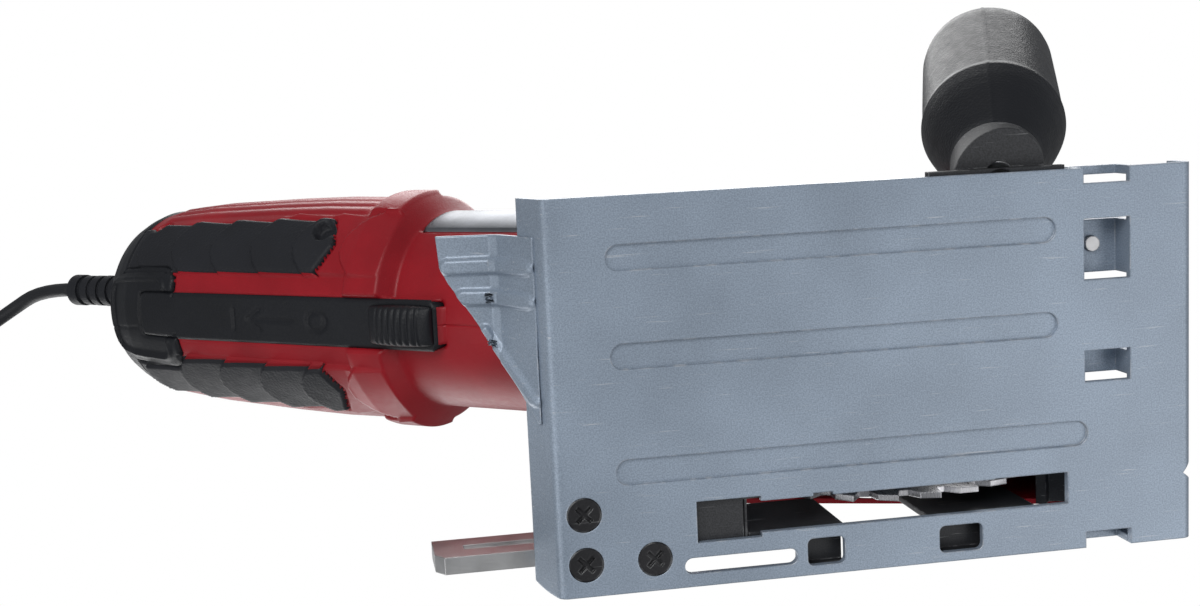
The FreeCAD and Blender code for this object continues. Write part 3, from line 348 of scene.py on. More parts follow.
def moulded_plastic(name, colour, roughness, grain_size, grain_depth, dust):
    """Moulded plastic or rubber: spark-eroded grain, a little colour drift, rubbed edges and fine dust."""
    material = bpy.data.materials.new(name)
    material.use_nodes = True
    tree = material.node_tree
    tree.nodes.clear()
    nodes, links = tree.nodes, tree.links

    out = nodes.new("ShaderNodeOutputMaterial")
    out.label = "Surface"
    plastic = nodes.new("ShaderNodeBsdfPrincipled")
    plastic.label = "Plastic"
    place = nodes.new("ShaderNodeTexCoord")
    place.label = "Place on the part"

    tone_frame = nodes.new("NodeFrame")
    tone_frame.label = "Colour drift"
    drift = nodes.new("ShaderNodeTexNoise")
    drift.label = "Moulding drift"
    drift.inputs["Scale"].default_value = 45.0
    drift.inputs["Detail"].default_value = 4.0
    tone = nodes.new("ShaderNodeValToRGB")
    tone.label = "Light and dark"
    tone.color_ramp.elements[0].position = 0.30
    tone.color_ramp.elements[0].color = (*[c * 0.84 for c in colour], 1)
    tone.color_ramp.elements[1].position = 0.72
    tone.color_ramp.elements[1].color = (*[min(c * 1.14, 1) for c in colour], 1)
    for node in (drift, tone):
        node.parent = tone_frame

    dust_frame = nodes.new("NodeFrame")
    dust_frame.label = "Dust and rubbed edges"
    specks = nodes.new("ShaderNodeTexNoise")
    specks.label = "Dust specks"
    specks.inputs["Scale"].default_value = 700.0
    specks.inputs["Detail"].default_value = 3.0
    few = nodes.new("ShaderNodeMapRange")
    few.label = "Only a few"
    few.inputs["From Min"].default_value = 0.68
    few.inputs["From Max"].default_value = 0.80
    few.inputs["To Max"].default_value = dust
    rounded = nodes.new("ShaderNodeBevel")
    rounded.label = "Softened edge"
    rounded.samples = 4
    rounded.inputs["Radius"].default_value = 0.0005
    shape = nodes.new("ShaderNodeNewGeometry")
    shape.label = "True facing"
    facing = nodes.new("ShaderNodeVectorMath")
    facing.label = "How far the edge turns"
    facing.operation = "DOT_PRODUCT"
    edge = nodes.new("ShaderNodeMapRange")
    edge.label = "Rubbed edge"
    edge.inputs["From Min"].default_value = 0.99
    edge.inputs["From Max"].default_value = 0.80
    edge.inputs["To Max"].default_value = dust * 0.8
    both = nodes.new("ShaderNodeMath")
    both.label = "Dust and edges"
    both.operation = "MAXIMUM"
    pale = nodes.new("ShaderNodeMix")
    pale.label = "Paler where rubbed"
    pale.data_type = "RGBA"
    pale.inputs["B"].default_value = (*[min(c * 1.8 + 0.10, 1) for c in colour], 1)
    for node in (specks, few, rounded, shape, facing, edge, both, pale):
        node.parent = dust_frame

    grain_frame = nodes.new("NodeFrame")
    grain_frame.label = "Mould grain"
    grain = nodes.new("ShaderNodeTexVoronoi")
    grain.label = "Spark-eroded pits"
    grain.inputs["Scale"].default_value = grain_size
    cloud = nodes.new("ShaderNodeTexNoise")
    cloud.label = "Polish"
    cloud.inputs["Scale"].default_value = grain_size * 0.25
    cloud.inputs["Detail"].default_value = 3.0
    gloss = nodes.new("ShaderNodeMapRange")
    gloss.label = "Uneven gloss"
    gloss.inputs["To Min"].default_value = roughness - 0.08
    gloss.inputs["To Max"].default_value = roughness + 0.10
    relief = nodes.new("ShaderNodeBump")
    relief.label = "Grain relief"
    relief.inputs["Strength"].default_value = grain_depth
    relief.inputs["Distance"].default_value = 0.0003
    for node in (grain, cloud, gloss, relief):
        node.parent = grain_frame

    plastic.inputs["IOR"].default_value = 1.46
    plastic.inputs["Specular IOR Level"].default_value = 0.34
    for target in (drift, specks, grain, cloud):
        links.new(place.outputs["Object"], target.inputs["Vector"])
    links.new(drift.outputs["Fac"], tone.inputs["Fac"])
    links.new(specks.outputs["Fac"], few.inputs["Value"])
    links.new(rounded.outputs["Normal"], facing.inputs[0])
    links.new(shape.outputs["Normal"], facing.inputs[1])
    links.new(facing.outputs["Value"], edge.inputs["Value"])
    links.new(few.outputs["Result"], both.inputs[0])
    links.new(edge.outputs["Result"], both.inputs[1])
    links.new(both.outputs["Value"], pale.inputs["Factor"])
    links.new(tone.outputs["Color"], pale.inputs["A"])
    links.new(pale.outputs["Result"], plastic.inputs["Base Color"])
    links.new(cloud.outputs["Fac"], gloss.inputs["Value"])
    links.new(gloss.outputs["Result"], plastic.inputs["Roughness"])
    links.new(grain.outputs["Distance"], relief.inputs["Height"])
    links.new(rounded.outputs["Normal"], relief.inputs["Normal"])
    links.new(relief.outputs["Normal"], plastic.inputs["Normal"])
    links.new(plastic.outputs["BSDF"], out.inputs["Surface"])
    spread_nodes(nodes)
    return material


def bare_metal(name, colour, roughness, brush, depth):
    """Bare metal: brushing along one way, small stains, and bright softened edges."""
    material = bpy.data.materials.new(name)
    material.use_nodes = True
    tree = material.node_tree
    tree.nodes.clear()
    nodes, links = tree.nodes, tree.links

    out = nodes.new("ShaderNodeOutputMaterial")
    out.label = "Surface"
    metal = nodes.new("ShaderNodeBsdfPrincipled")
    metal.label = "Metal"
    metal.inputs["Metallic"].default_value = 1.0
    place = nodes.new("ShaderNodeTexCoord")
    place.label = "Place on the part"

    brush_frame = nodes.new("NodeFrame")
    brush_frame.label = "Brushing"
    stretch = nodes.new("ShaderNodeMapping")
    stretch.label = "Brush direction"
    stretch.inputs["Scale"].default_value = brush
    strokes = nodes.new("ShaderNodeTexNoise")
    strokes.label = "Brush strokes"
    strokes.inputs["Scale"].default_value = 420.0
    strokes.inputs["Detail"].default_value = 5.0
    relief = nodes.new("ShaderNodeBump")
    relief.label = "Stroke relief"
    relief.inputs["Strength"].default_value = depth
    relief.inputs["Distance"].default_value = 0.0002
    rounded = nodes.new("ShaderNodeBevel")
    rounded.label = "Softened edge"
    rounded.samples = 4
    rounded.inputs["Radius"].default_value = 0.0004
    for node in (stretch, strokes, relief, rounded):
        node.parent = brush_frame

    stain_frame = nodes.new("NodeFrame")
    stain_frame.label = "Stains and gloss"
    stain = nodes.new("ShaderNodeTexNoise")
    stain.label = "Handling stains"
    stain.inputs["Scale"].default_value = 70.0
    stain.inputs["Detail"].default_value = 5.0
    tone = nodes.new("ShaderNodeValToRGB")
    tone.label = "Dull and bright"
    tone.color_ramp.elements[0].position = 0.30
    tone.color_ramp.elements[0].color = (*[c * 0.62 for c in colour], 1)
    tone.color_ramp.elements[1].position = 0.62
    tone.color_ramp.elements[1].color = (*colour, 1)
    gloss = nodes.new("ShaderNodeMapRange")
    gloss.label = "Uneven gloss"
    gloss.inputs["To Min"].default_value = roughness - 0.08
    gloss.inputs["To Max"].default_value = roughness + 0.14
    for node in (stain, tone, gloss):
        node.parent = stain_frame

    links.new(place.outputs["Object"], stretch.inputs["Vector"])
    links.new(stretch.outputs["Vector"], strokes.inputs["Vector"])
    links.new(strokes.outputs["Fac"], relief.inputs["Height"])
    links.new(rounded.outputs["Normal"], relief.inputs["Normal"])
    links.new(place.outputs["Object"], stain.inputs["Vector"])
    links.new(stain.outputs["Fac"], tone.inputs["Fac"])
    links.new(tone.outputs["Color"], metal.inputs["Base Color"])
    links.new(strokes.outputs["Fac"], gloss.inputs["Value"])
    links.new(gloss.outputs["Result"], metal.inputs["Roughness"])
    links.new(relief.outputs["Normal"], metal.inputs["Normal"])
    links.new(metal.outputs["BSDF"], out.inputs["Surface"])
    spread_nodes(nodes)
    return material


def stage_floor(name, colour):
    """Pale matt floor that shows only from above, so that the sole can be seen from beneath."""
    material = bpy.data.materials.new(name)
    material.use_nodes = True
    tree = material.node_tree
    tree.nodes.clear()
    nodes, links = tree.nodes, tree.links
    out = nodes.new("ShaderNodeOutputMaterial")
    out.label = "Surface"
    board = nodes.new("ShaderNodeBsdfPrincipled")
    board.label = "Matt board"
    board.inputs["Base Color"].default_value = (*colour, 1)
    board.inputs["Roughness"].default_value = 0.85
    clear = nodes.new("ShaderNodeBsdfTransparent")
    clear.label = "Nothing from beneath"
    side = nodes.new("ShaderNodeNewGeometry")
    side.label = "Which face is seen"
    choose = nodes.new("ShaderNodeMixShader")
    choose.label = "Board above, clear beneath"
    links.new(side.outputs["Backfacing"], choose.inputs["Fac"])
    links.new(board.outputs["BSDF"], choose.inputs[1])
    links.new(clear.outputs["BSDF"], choose.inputs[2])
    links.new(choose.outputs["Shader"], out.inputs["Surface"])
    spread_nodes(nodes)
    return material


def spread_nodes(nodes):
    """Lays the nodes out in rows of four."""
    for i, node in enumerate(n for n in nodes if n.bl_idname != "NodeFrame"):
        node.location = (240 * (i % 4) - 700, 320 - 300 * (i // 4))


FINISHES = {}


def make_finishes():
    """Every finish of the saw, by the name of its material slot."""
    look = bpy.context.scene.saw_finish
    steel, hard, soft = tuple(look.steel), tuple(look.hard_black), tuple(look.soft_black)
    bright = (0.62, 0.63, 0.64)
    across, along = (1.0, 14.0, 14.0), (14.0, 1.0, 1.0)
    FINISHES["sole_paint"] = painted_metal("sole_enamel", tuple(look.sole), 0.36, bright, 0.55, 0.16)
    FINISHES["cast_dark"] = painted_metal("powder_black", (0.030, 0.031, 0.034), 0.52, bright, 0.25, 0.30)
    FINISHES["guard_dark"] = painted_metal("guard_black", (0.022, 0.023, 0.026), 0.45, bright, 0.35, 0.25)
    FINISHES["black_oxide"] = painted_metal("black_screws", (0.014, 0.014, 0.016), 0.34, bright, 0.22, 0.20)
    FINISHES["housing_red"] = moulded_plastic("housing_red", tuple(look.housing), 0.40, 2100.0, 0.10, 0.10)
    FINISHES["grip_black"] = moulded_plastic("hard_black", hard, 0.46, 1500.0, 0.22, 0.05)
    FINISHES["soft_black"] = moulded_plastic("soft_grip", soft, 0.56, 1100.0, 0.30, 0.09)
    FINISHES["cord_rubber"] = moulded_plastic("cord_sheath", (0.017, 0.018, 0.021), 0.48, 900.0, 0.12, 0.06)
    FINISHES["carbon"] = moulded_plastic("carbon", (0.03, 0.03, 0.03), 0.60, 900.0, 0.20, 0.05)
    FINISHES["steel"] = bare_metal("turned_steel", steel, 0.30, across, 0.10)
    FINISHES["bar_steel"] = bare_metal("zinc_bar", (0.66, 0.66, 0.66), 0.30, across, 0.16)
    FINISHES["blade_steel"] = bare_metal("blade_steel", (0.50, 0.50, 0.52), 0.26, along, 0.12)
    FINISHES["cast_alloy"] = bare_metal("cast_alloy", tuple(look.alloy), 0.46, (1, 1, 1), 0.35)
    FINISHES["plate_metal"] = bare_metal("name_plate", (0.20, 0.21, 0.23), 0.38, across, 0.10)
    FINISHES["brass"] = bare_metal("brass", (0.70, 0.54, 0.27), 0.28, (1, 1, 1), 0.08)
    FINISHES["copper"] = bare_metal("copper", tuple(look.copper), 0.34, along, 0.12)


# ---------------------------------------------------------------- motor body

SHELL_FRONT = 50.0
SHELL_BACK = 285.0
RAIL_DEPTH = 35.5
DEGREE_MM = 0.628


def body_radius(s, neck, block):
    """Radius of the plain housing at each distance behind the blade axis, in millimetres."""
    places = [50, 144.5, 148.5, 160, 165, 184, 205, 239, 256, 262, 268, 272.6, 277.5, 281.5, 284, 285]
    radii = [neck, neck, block, block, 36.6, 36.9, 36.4, 35.0, 33.4, 32.4, 30.4, 28.2, 24.0, 18.0, 12.0, 8.2]
    return np.interp(s, places, radii)


def strip_shape(u, v):
    """Black strip along the underside, in which the switch slides."""
    return rounded_box(u, v, 126.0, 254.0, -8.2, 8.2, 2.0)


def cap_shape(u, v):
    """Rear cap with a tongue that reaches forward over the end of the strip."""
    whole_end = u - 263.0
    tongue = rounded_box(u, v, 237.0, 300.0, -17.5, 20.5, 6.0)
    return np.maximum(whole_end, tongue)


def grip_shape(u, v):
    """Soft pads on both flanks and a pair on the crown, with a slanted front edge."""
    w = np.abs(v)
    slant = 0.42 * np.abs(w - 25.0)
    flank = np.minimum(band(w, 15.2, 35.5), u - 170.0 - slant)
    crown = np.minimum(band(w, 74.0, 101.0), band(u, 172.0 + 0.3 * np.abs(w - 88.0), 262.0))
    return np.maximum(flank, crown)


def plate_shape(u, v):
    """Metal name plate on the right flank of the neck."""
    return rounded_box(u, v, 88.0, 143.5, -66.0, -37.0, 1.5)


def scale_steps(u, w, pitch, rise):
    """Height of overlapping scales, whose edges bow towards the rear."""
    bow = 7.5 * ((w - 25.0) / 11.0) ** 2
    phase = (u + bow) / pitch
    part = phase - np.floor(phase)
    return rise * (part ** 1.6) * soft_step(part, 0.0, 0.07)


def vent_depth(u, v):
    """Cooling slots through both flanks of the neck."""
    depth = np.zeros_like(u)
    for start in (62.0, 68.0, 74.0, 80.0):
        for middle in (56.0, -56.0):
            slot = rounded_box(u, v, start - 0.1, start + 2.7, middle - 9, middle + 9, 1.3)
            depth = np.maximum(depth, 2.4 * soft_step(slot, -0.1, 0.5))
    return depth


def switch_marks(u, v):
    """Depth of the engraved on, off and arrow marks on the strip."""
    near = stroke(u, v, (209.0, -3.2), (209.0, 3.2))
    near = np.minimum(near, stroke(u, v, (184.0, 0.0), (203.0, 0.0)))
    near = np.minimum(near, stroke(u, v, (203.0, 0.0), (197.5, -3.4)))
    near = np.minimum(near, stroke(u, v, (203.0, 0.0), (197.5, 3.4)))
    ring = np.abs(np.hypot((u - 173.5) / 1.25, v) - 3.0)
    near = np.minimum(near, ring)
    return 0.55 * (1.0 - soft_step(near, 0.35, 0.95))


def screw_wells(u, v):
    """Wells that the housing screws sit in."""
    depth = np.zeros_like(u)
    for s, z in ((150.5, 25.0), (176.0, -24.0), (226.9, 24.0), (255.0, -20.0)):
        angle = -math.atan2(math.sqrt(36.3 ** 2 - z ** 2), -z)
        middle = math.degrees(angle) * DEGREE_MM
        reach = np.hypot(u - s, v - middle)
        depth = np.maximum(depth, 3.4 * (1.0 - soft_step(reach, 3.2, 4.0)) - 0.7 * np.exp(-((reach - 5.2) / 0.8) ** 2))
    return depth


PART_SHAPES = {"cap": cap_shape, "strip": strip_shape, "grip": grip_shape, "plate": plate_shape}
PART_RISE = {"cap": 0.9, "grip": 0.9, "strip": 0.0, "plate": 0.5, "shell": 0.0}


def which_part(u, v):
    """Name of the moulding at each place, as an array of numbers into PART_ORDER."""
    part = np.zeros(u.shape, int)
    for number, name in reversed(list(enumerate(PART_ORDER))):
        if name != "shell":
            part = np.where(PART_SHAPES[name](u, v) > 0, number, part)
    return part


PART_ORDER = ["shell", "strip", "cap", "grip", "plate"]


def nearest_border(u, v):
    """Distance to the nearest edge between two mouldings, signed by the moulding on top."""
    values = [PART_SHAPES[name](u, v) for name in PART_ORDER[1:]]
    smallest = np.abs(values[0])
    signed = values[0]
    covered = np.zeros(u.shape, bool)
    for value in values:
        closer = (np.abs(value) < smallest) & ~covered
        signed = np.where(closer, value, signed)
        smallest = np.where(closer, np.abs(value), smallest)
        covered |= value > 2.0
    return signed


def skin_radius(u, v, sizes):
    """Outer radius of the finished body, in millimetres."""
    angle = np.radians(v / DEGREE_MM)
    radius = body_radius(u, sizes.neck_radius, sizes.block_radius)
    part = which_part(u, v)
    w = np.abs(v)
    shell = part == 0
    rear = u > 162.0
    # ribbed bands on the sides, scales ahead of the pads, and the facet beside the strip
    ribs = 0.55 * np.abs(np.sin(np.pi * (w - 40.0) / 5.2)) * band_mask(w, 40.0, 72.0) * soft_step(u, 164, 168)
    ribs = ribs * (1 - soft_step(u, 256, 260))
    radius = np.where(shell & rear, radius + ribs, radius)
    scales = scale_steps(u, w, sizes.scale_pitch, sizes.scale_rise)
    front = shell & (u > 149.0) & (u < 200.0) & (w > 15.0) & (w < 39.0)
    radius = np.where(front, radius + 0.9 * scales, radius)
    radius = np.where(part == 3, radius + scales, radius)
    facet = 36.1 / np.maximum(np.cos(angle - np.sign(v) * np.radians(18.5)), 0.5)
    on_facet = shell & (w > 8.2) & (w < 15.2) & (u > 162) & (u < 236)
    radius = np.where(on_facet, np.minimum(radius, facet - 0.5), radius)
    # bold shoulder with chamfered lugs where it crosses the sides
    lug = 2.0 * band_mask(w, 38.0, 60.0) * soft_step(band(u, 148.5, 163.0), 0.0, 1.6)
    radius = np.where(shell, radius + lug, radius)
    spine = 0.8 * band_mask(w, 104.0, 113.5) * soft_step(band(u, 166.0, 258.0), 0.0, 3.0)
    radius = np.where(shell, radius + spine, radius)
    radius = radius - np.where(shell, vent_depth(u, v), 0.0)
    for number, name in enumerate(PART_ORDER):
        radius = np.where(part == number, radius + PART_RISE[name], radius)
    flat = RAIL_DEPTH / np.maximum(np.cos(angle), 0.5)
    strip = np.where(u < 236.0, flat, np.minimum(flat, radius + 0.6))
    radius = np.where(part == 1, strip - switch_marks(u, v), radius)
    # raised rim and sunk panel on the cap
    panel = rounded_box(u, v, 241.5, 272.0, -13.0, 16.5, 4.5)
    rim = 0.9 * np.exp(-(panel / 0.9) ** 2) - 0.5 * soft_step(panel, 0.4, 1.4)
    parting = -0.35 * np.exp(-((v - 5.0 - 0.12 * (u - 255.0)) / 0.35) ** 2)
    radius = np.where(part == 2, radius + rim * (u < 274.0) + parting, radius)
    radius = radius - screw_wells(u, v)
    # both edges of every joint roll down into a groove, and the halves part along the crown
    border = np.abs(nearest_border(u, v))
    radius = radius - sizes.groove * (1.0 - soft_step(border, 0.05, 1.0))
    crown_seam = 180.0 * DEGREE_MM - w
    radius = radius - np.where(shell, 0.4 * np.exp(-(crown_seam / 0.4) ** 2), 0.0)
    return radius


def band_mask(x, low, high):
    return soft_step(band(x, low, high), 0.0, 0.9)


def settle_on_borders(u, v, pitch):
    """Moves mesh points that are close to the edge of a moulding exactly onto it."""
    for name in PART_ORDER[1:]:
        shape = PART_SHAPES[name]
        value = shape(u, v)
        eps = 0.02
        du = (shape(u + eps, v) - shape(u - eps, v)) / (2 * eps)
        dv = (shape(u, v + eps) - shape(u, v - eps)) / (2 * eps)
        steep = np.maximum(du ** 2 + dv ** 2, 0.2)
        near = np.abs(value) < 0.5 * pitch
        u = np.where(near, u - value * du / steep, u)
        v = np.where(near, v - value * dv / steep, v)
    return u, v


def body_grid(sizes):
    """Points and quads of the whole body skin, with the moulding that each quad belongs to."""
    pitch = sizes.skin_pitch * 1.0
    rows = int((SHELL_BACK - SHELL_FRONT) / pitch)
    columns = int(360.0 * DEGREE_MM / pitch)
    s = np.linspace(SHELL_FRONT, SHELL_BACK, rows + 1)
    v = (np.arange(columns) / columns * 360.0 - 180.0) * DEGREE_MM
    u_grid, v_grid = np.meshgrid(s, v, indexing="ij")
    u_new, v_new = settle_on_borders(u_grid[1:-1], v_grid[1:-1], pitch)
    u_grid[1:-1], v_grid[1:-1] = u_new, v_new
    radius = skin_radius(u_grid, v_grid, sizes)
    points = body_points(u_grid, np.radians(v_grid / DEGREE_MM), radius)
    i, j = np.meshgrid(np.arange(rows), np.arange(columns), indexing="ij")
    k = (j + 1) % columns
    quads = np.stack([i * columns + j, i * columns + k, (i + 1) * columns + k, (i + 1) * columns + j], axis=-1)
    wrap = 360.0 * DEGREE_MM
    v_next = np.where(k == 0, v_grid[i, k] + wrap, v_grid[i, k])
    v_next_row = np.where(k == 0, v_grid[i + 1, k] + wrap, v_grid[i + 1, k])
    v_middle = (v_grid[i, j] + v_next + v_grid[i + 1, j] + v_next_row) / 4
    u_middle = (u_grid[i, j] + u_grid[i, k] + u_grid[i + 1, j] + u_grid[i + 1, k]) / 4
    half = wrap / 2
    v_middle = np.where(v_middle > half, v_middle - wrap, v_middle)
    return points.reshape(-1, 3), quads.reshape(-1, 4), which_part(u_middle, v_middle).ravel(), v_middle.ravel()


def skin_piece(name, points, quads, material, depth):
    """One moulding cut out of the body skin, with its edges folded inward to show its thickness."""
    used, index = np.unique(quads, return_inverse=True)
    obj = new_object(name, points[used], index.reshape(-1, 4), material)
    mesh = bmesh.new()
    mesh.from_mesh(obj.data)
    rim = [e for e in mesh.edges if e.is_boundary]
    made = bmesh.ops.extrude_edge_only(mesh, edges=rim)["geom"]
    for vertex in (g for g in made if isinstance(g, bmesh.types.BMVert)):
        along = (vertex.co - HEAD_ORIGIN).dot(AHEAD)
        inward = HEAD_ORIGIN + AHEAD * along - vertex.co
        vertex.co += inward.normalized() * depth
    bmesh.ops.recalc_face_normals(mesh, faces=mesh.faces)
    mesh.to_mesh(obj.data)
    mesh.free()
    for polygon in obj.data.polygons:
        polygon.use_smooth = True
    obj.data.update()
    return obj


def body_loft(name, sections, material):
    """A closed shape through rings of points given in the body's own axes: lists of (s, y, z) in millimetres."""
    rings = [[HEAD_ORIGIN - AHEAD * (s * MM) + SIDE * (y * MM) + CROWN * (z * MM) for s, y, z in ring] for ring in sections]
    count = len(rings[0])
    vertices = [p for ring in rings for p in ring]
    faces = []
    for i in range(len(rings) - 1):
        for j in range(count):
            k = (j + 1) % count
            faces.append((i * count + j, i * count + k, (i + 1) * count + k, (i + 1) * count + j))
    faces.append(tuple(range(count))[::-1])
    last = (len(rings) - 1) * count
    faces.append(tuple(range(last, last + count)))
    obj = new_object(name, vertices, faces, material)
    mesh = bmesh.new()
    mesh.from_mesh(obj.data)
    bmesh.ops.recalc_face_normals(mesh, faces=mesh.faces)
    mesh.to_mesh(obj.data)
    mesh.free()
    return obj


class SAW_OT_body_skins(bpy.types.Operator):
    """Builds the red housing halves, the grips, the rear cap, the strip and the name plate"""
    bl_idname = "saw.body_skins"
    bl_label = "Body mouldings"

    def execute(self, context):
        sizes = context.scene.saw_sizes
        points, quads, part, v = body_grid(sizes)
        numbers = {name: i for i, name in enumerate(PART_ORDER)}
        plan = [
            ("right_housing_skin", "housing_right", "housing_red", "shell", v < 0),
            ("left_housing_skin", "housing_left", "housing_red", "shell", v >= 0),
            ("right_soft_grip", "grip_right", "soft_black", "grip", v < 0),
            ("left_soft_grip", "grip_left", "soft_black", "grip", v >= 0),
            ("rear_cap_skin", "rear_cap", "grip_black", "cap", v < 1e9),
            ("switch_strip", "switch_rail", "grip_black", "strip", v < 1e9),
            ("name_plate_skin", "nameplate", "plate_metal", "plate", v < 1e9),
        ]
        for name, node, slot, kind, half in plan:
            chosen = quads[(part == numbers[kind]) & half]
            if not len(chosen):
                raise RuntimeError(f"the body skin has no faces for {name}")
            piece = skin_piece(name, points, chosen, FINISHES[slot], 1.6 * MM)
            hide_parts(node)
            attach(piece, "saw_head")
        return {"FINISHED"}


class SAW_OT_switch_thumb(bpy.types.Operator):
    """Builds the ribbed thumb piece of the slide switch"""
    bl_idname = "saw.switch_thumb"
    bl_label = "Switch thumb piece"

    def execute(self, context):
        sections = []
        rows = 120
        for i in range(rows + 1):
            t = i / rows
            s = 127.0 + 24.0 * t
            hump = math.sin(math.pi * min(max(t, 0.0), 1.0)) ** 0.35
            ridge = 0.55 * abs(math.sin(math.pi * (s - 127.0) / 2.4)) if 0.15 < t < 0.85 else 0.0
            top = 36.0 + 4.0 * hump + ridge
            half = 6.4 * (0.86 + 0.14 * hump)
            low = 35.95
            ring = []
            for j in range(29):
                a = math.pi * j / 28
                y = -half * math.cos(a)
                z = low + (top - low) * math.sin(a) ** 0.45
                ring.append((s, y, -z))
            sections.append(ring)
        thumb = body_loft("switch_thumb", sections, FINISHES["grip_black"])
        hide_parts("switch_slider")
        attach(thumb, "switch")
        return {"FINISHED"}


# ---------------------------------------------------------------- front knob


class SAW_OT_front_knob(bpy.types.Operator):
    """Turns the front knob with its crisp rim, barrel side, domed end and mould seam"""
    bl_idname = "saw.front_knob"
    bl_label = "Front knob"

    def execute(self, context):
        sizes = context.scene.saw_sizes
        low, high = (Vector(corner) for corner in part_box("knob_stud"))
        axis = Vector((0.336, -0.384, 0.861)).normalized()
        root = Vector((37.6, -52.1, 13.9)) * MM
        seam = Vector((-0.39, -0.02, -0.92))
        seam = (seam - axis * seam.dot(axis)).normalized()
        across = axis.cross(seam)
        outline = [(0.0, 11.4), (2.5, 12.1), (6.0, 13.6), (10.0, 15.3), (14.0, 17.0), (18.0, 18.4), (21.0, 19.2),
                   (22.2, 19.5), (22.9, 19.5), (23.8, 19.3), (25.0, 19.15), (38.0, 19.1), (52.0, 18.95), (64.0, 18.8),
                   (68.0, 18.3), (71.0, 17.2), (73.4, 14.8), (75.0, 11.2), (75.9, 6.8), (76.2, 2.0)]
        fine = np.linspace(0, 1, 90)
        place = np.linspace(0, 1, len(outline))
        along = np.interp(fine, place, [p[0] for p in outline])
        radii = np.interp(fine, place, [p[1] for p in outline])
        count = sizes.knob_segments
        vertices, faces = [], []
        for a, r in zip(along, radii):
            for j in range(count):
                turn = 2 * math.pi * j / count
                off = min(turn, 2 * math.pi - turn, abs(turn - math.pi))
                ridge = 0.22 * math.exp(-(off * r / 0.45) ** 2) if a > 1.0 else 0.0
                reach = (r + ridge) * MM
                direction = seam * math.cos(turn) + across * math.sin(turn)
                vertices.append(root + axis * (a * MM) + direction * reach)
        for i in range(len(along) - 1):
            for j in range(count):
                k = (j + 1) % count
                faces.append((i * count + j, i * count + k, (i + 1) * count + k, (i + 1) * count + j))
        faces.append(tuple(range(count))[::-1])
        last = (len(along) - 1) * count
        faces.append(tuple(range(last, last + count)))
        knob = new_object("front_knob_grip", vertices, faces, FINISHES["grip_black"])
        mesh = bmesh.new()
        mesh.from_mesh(knob.data)
        bmesh.ops.recalc_face_normals(mesh, faces=mesh.faces)
        mesh.to_mesh(knob.data)
        mesh.free()
        if (low - root).length > 0.2 or high.z < root.z:
            raise RuntimeError("the knob's stud isn't where the knob is")
        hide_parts("front_knob")
        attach(knob, "base")
        return {"FINISHED"}


# ---------------------------------------------------------------- finger guard


def guard_height(x):
    """Height of the finger guard's inner face above the work at each x, in millimetres."""
    return np.interp(x, [-111.0, -97.5, -95.5, -88.4], [24.5, 20.4, 18.6, 4.4])


class SAW_OT_finger_guard(bpy.types.Operator):
    """Presses the finger guard with its two level ribs and the rib along its slanted edge"""
    bl_idname = "saw.finger_guard"
    bl_label = "Finger guard"

    def execute(self, context):
        rows, columns = 96, 150
        y = np.linspace(-41.0, 6.0, columns + 1)
        far = np.interp(y, [-41.0, -33.0, -29.0, -20.0, -9.0, 6.0], [-110.8, -110.2, -108.4, -102.5, -96.0, -88.9])
        t = np.linspace(0, 1, rows + 1)
        x = -88.3 + t[:, None] * (far + 88.3)[None, :]
        side = np.repeat(y[None, :], rows + 1, axis=0)
        z = guard_height(x)
        ribs = np.zeros_like(x)
        for start, end, half in (((-108.0, -33.0), (-90.5, -33.2), 2.6), ((-104.5, -25.0), (-90.5, -24.8), 2.6),
                                 ((-99.5, -16.5), (-89.4, 0.5), 1.7)):
            gap = stroke(x, side, start, end)
            ribs = np.maximum(ribs, 1.15 * (1 - soft_step(gap, half - 1.3, half)))
        slope = np.gradient(z, axis=0) / np.gradient(x, axis=0)
        length = np.sqrt(1 + slope ** 2)
        points = np.stack([x + ribs * slope / length, side, z - ribs / length], axis=-1)
        grid = points.reshape(-1, 3) * MM
        w = columns + 1
        faces = [(i * w + j, i * w + j + 1, (i + 1) * w + j + 1, (i + 1) * w + j)
                 for i in range(rows) for j in range(columns)]
        guard = new_object("finger_guard_sheet", grid, faces, FINISHES["sole_paint"])
        sheet = guard.modifiers.new("Sheet", "SOLIDIFY")
        sheet.thickness = 1.5 * MM
        sheet.offset = 1.0
        apply_modifiers(guard)
        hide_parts("finger_guard")
        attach(guard, "base")
        return {"FINISHED"}


# ---------------------------------------------------------------- cord


def cord_route():
    """Control points of the cord from the boot to the coil, in metres."""
    floor = 0.00265
    return [
        (-0.23474, -0.0095, 0.25355),
        (-0.25006, -0.0095, 0.26641),
        (-0.2654, 0.0, 0.2760),
        (-0.2836, 0.0114, 0.2741),
        (-0.2992, 0.0197, 0.2602),
        (-0.3075, 0.0237, 0.2348),
        (-0.3095, 0.0265, 0.1980),
        (-0.3080, 0.0285, 0.1560),
        (-0.3095, 0.0310, 0.1130),
        (-0.3085, 0.0300, 0.0750),
        (-0.3110, 0.0265, 0.0450),
        (-0.3125, 0.0185, 0.0230),
        (-0.3137, 0.0045, 0.0103),
        (-0.3149, -0.0120, floor),
        (-0.3154, -0.0285, floor),
    ]


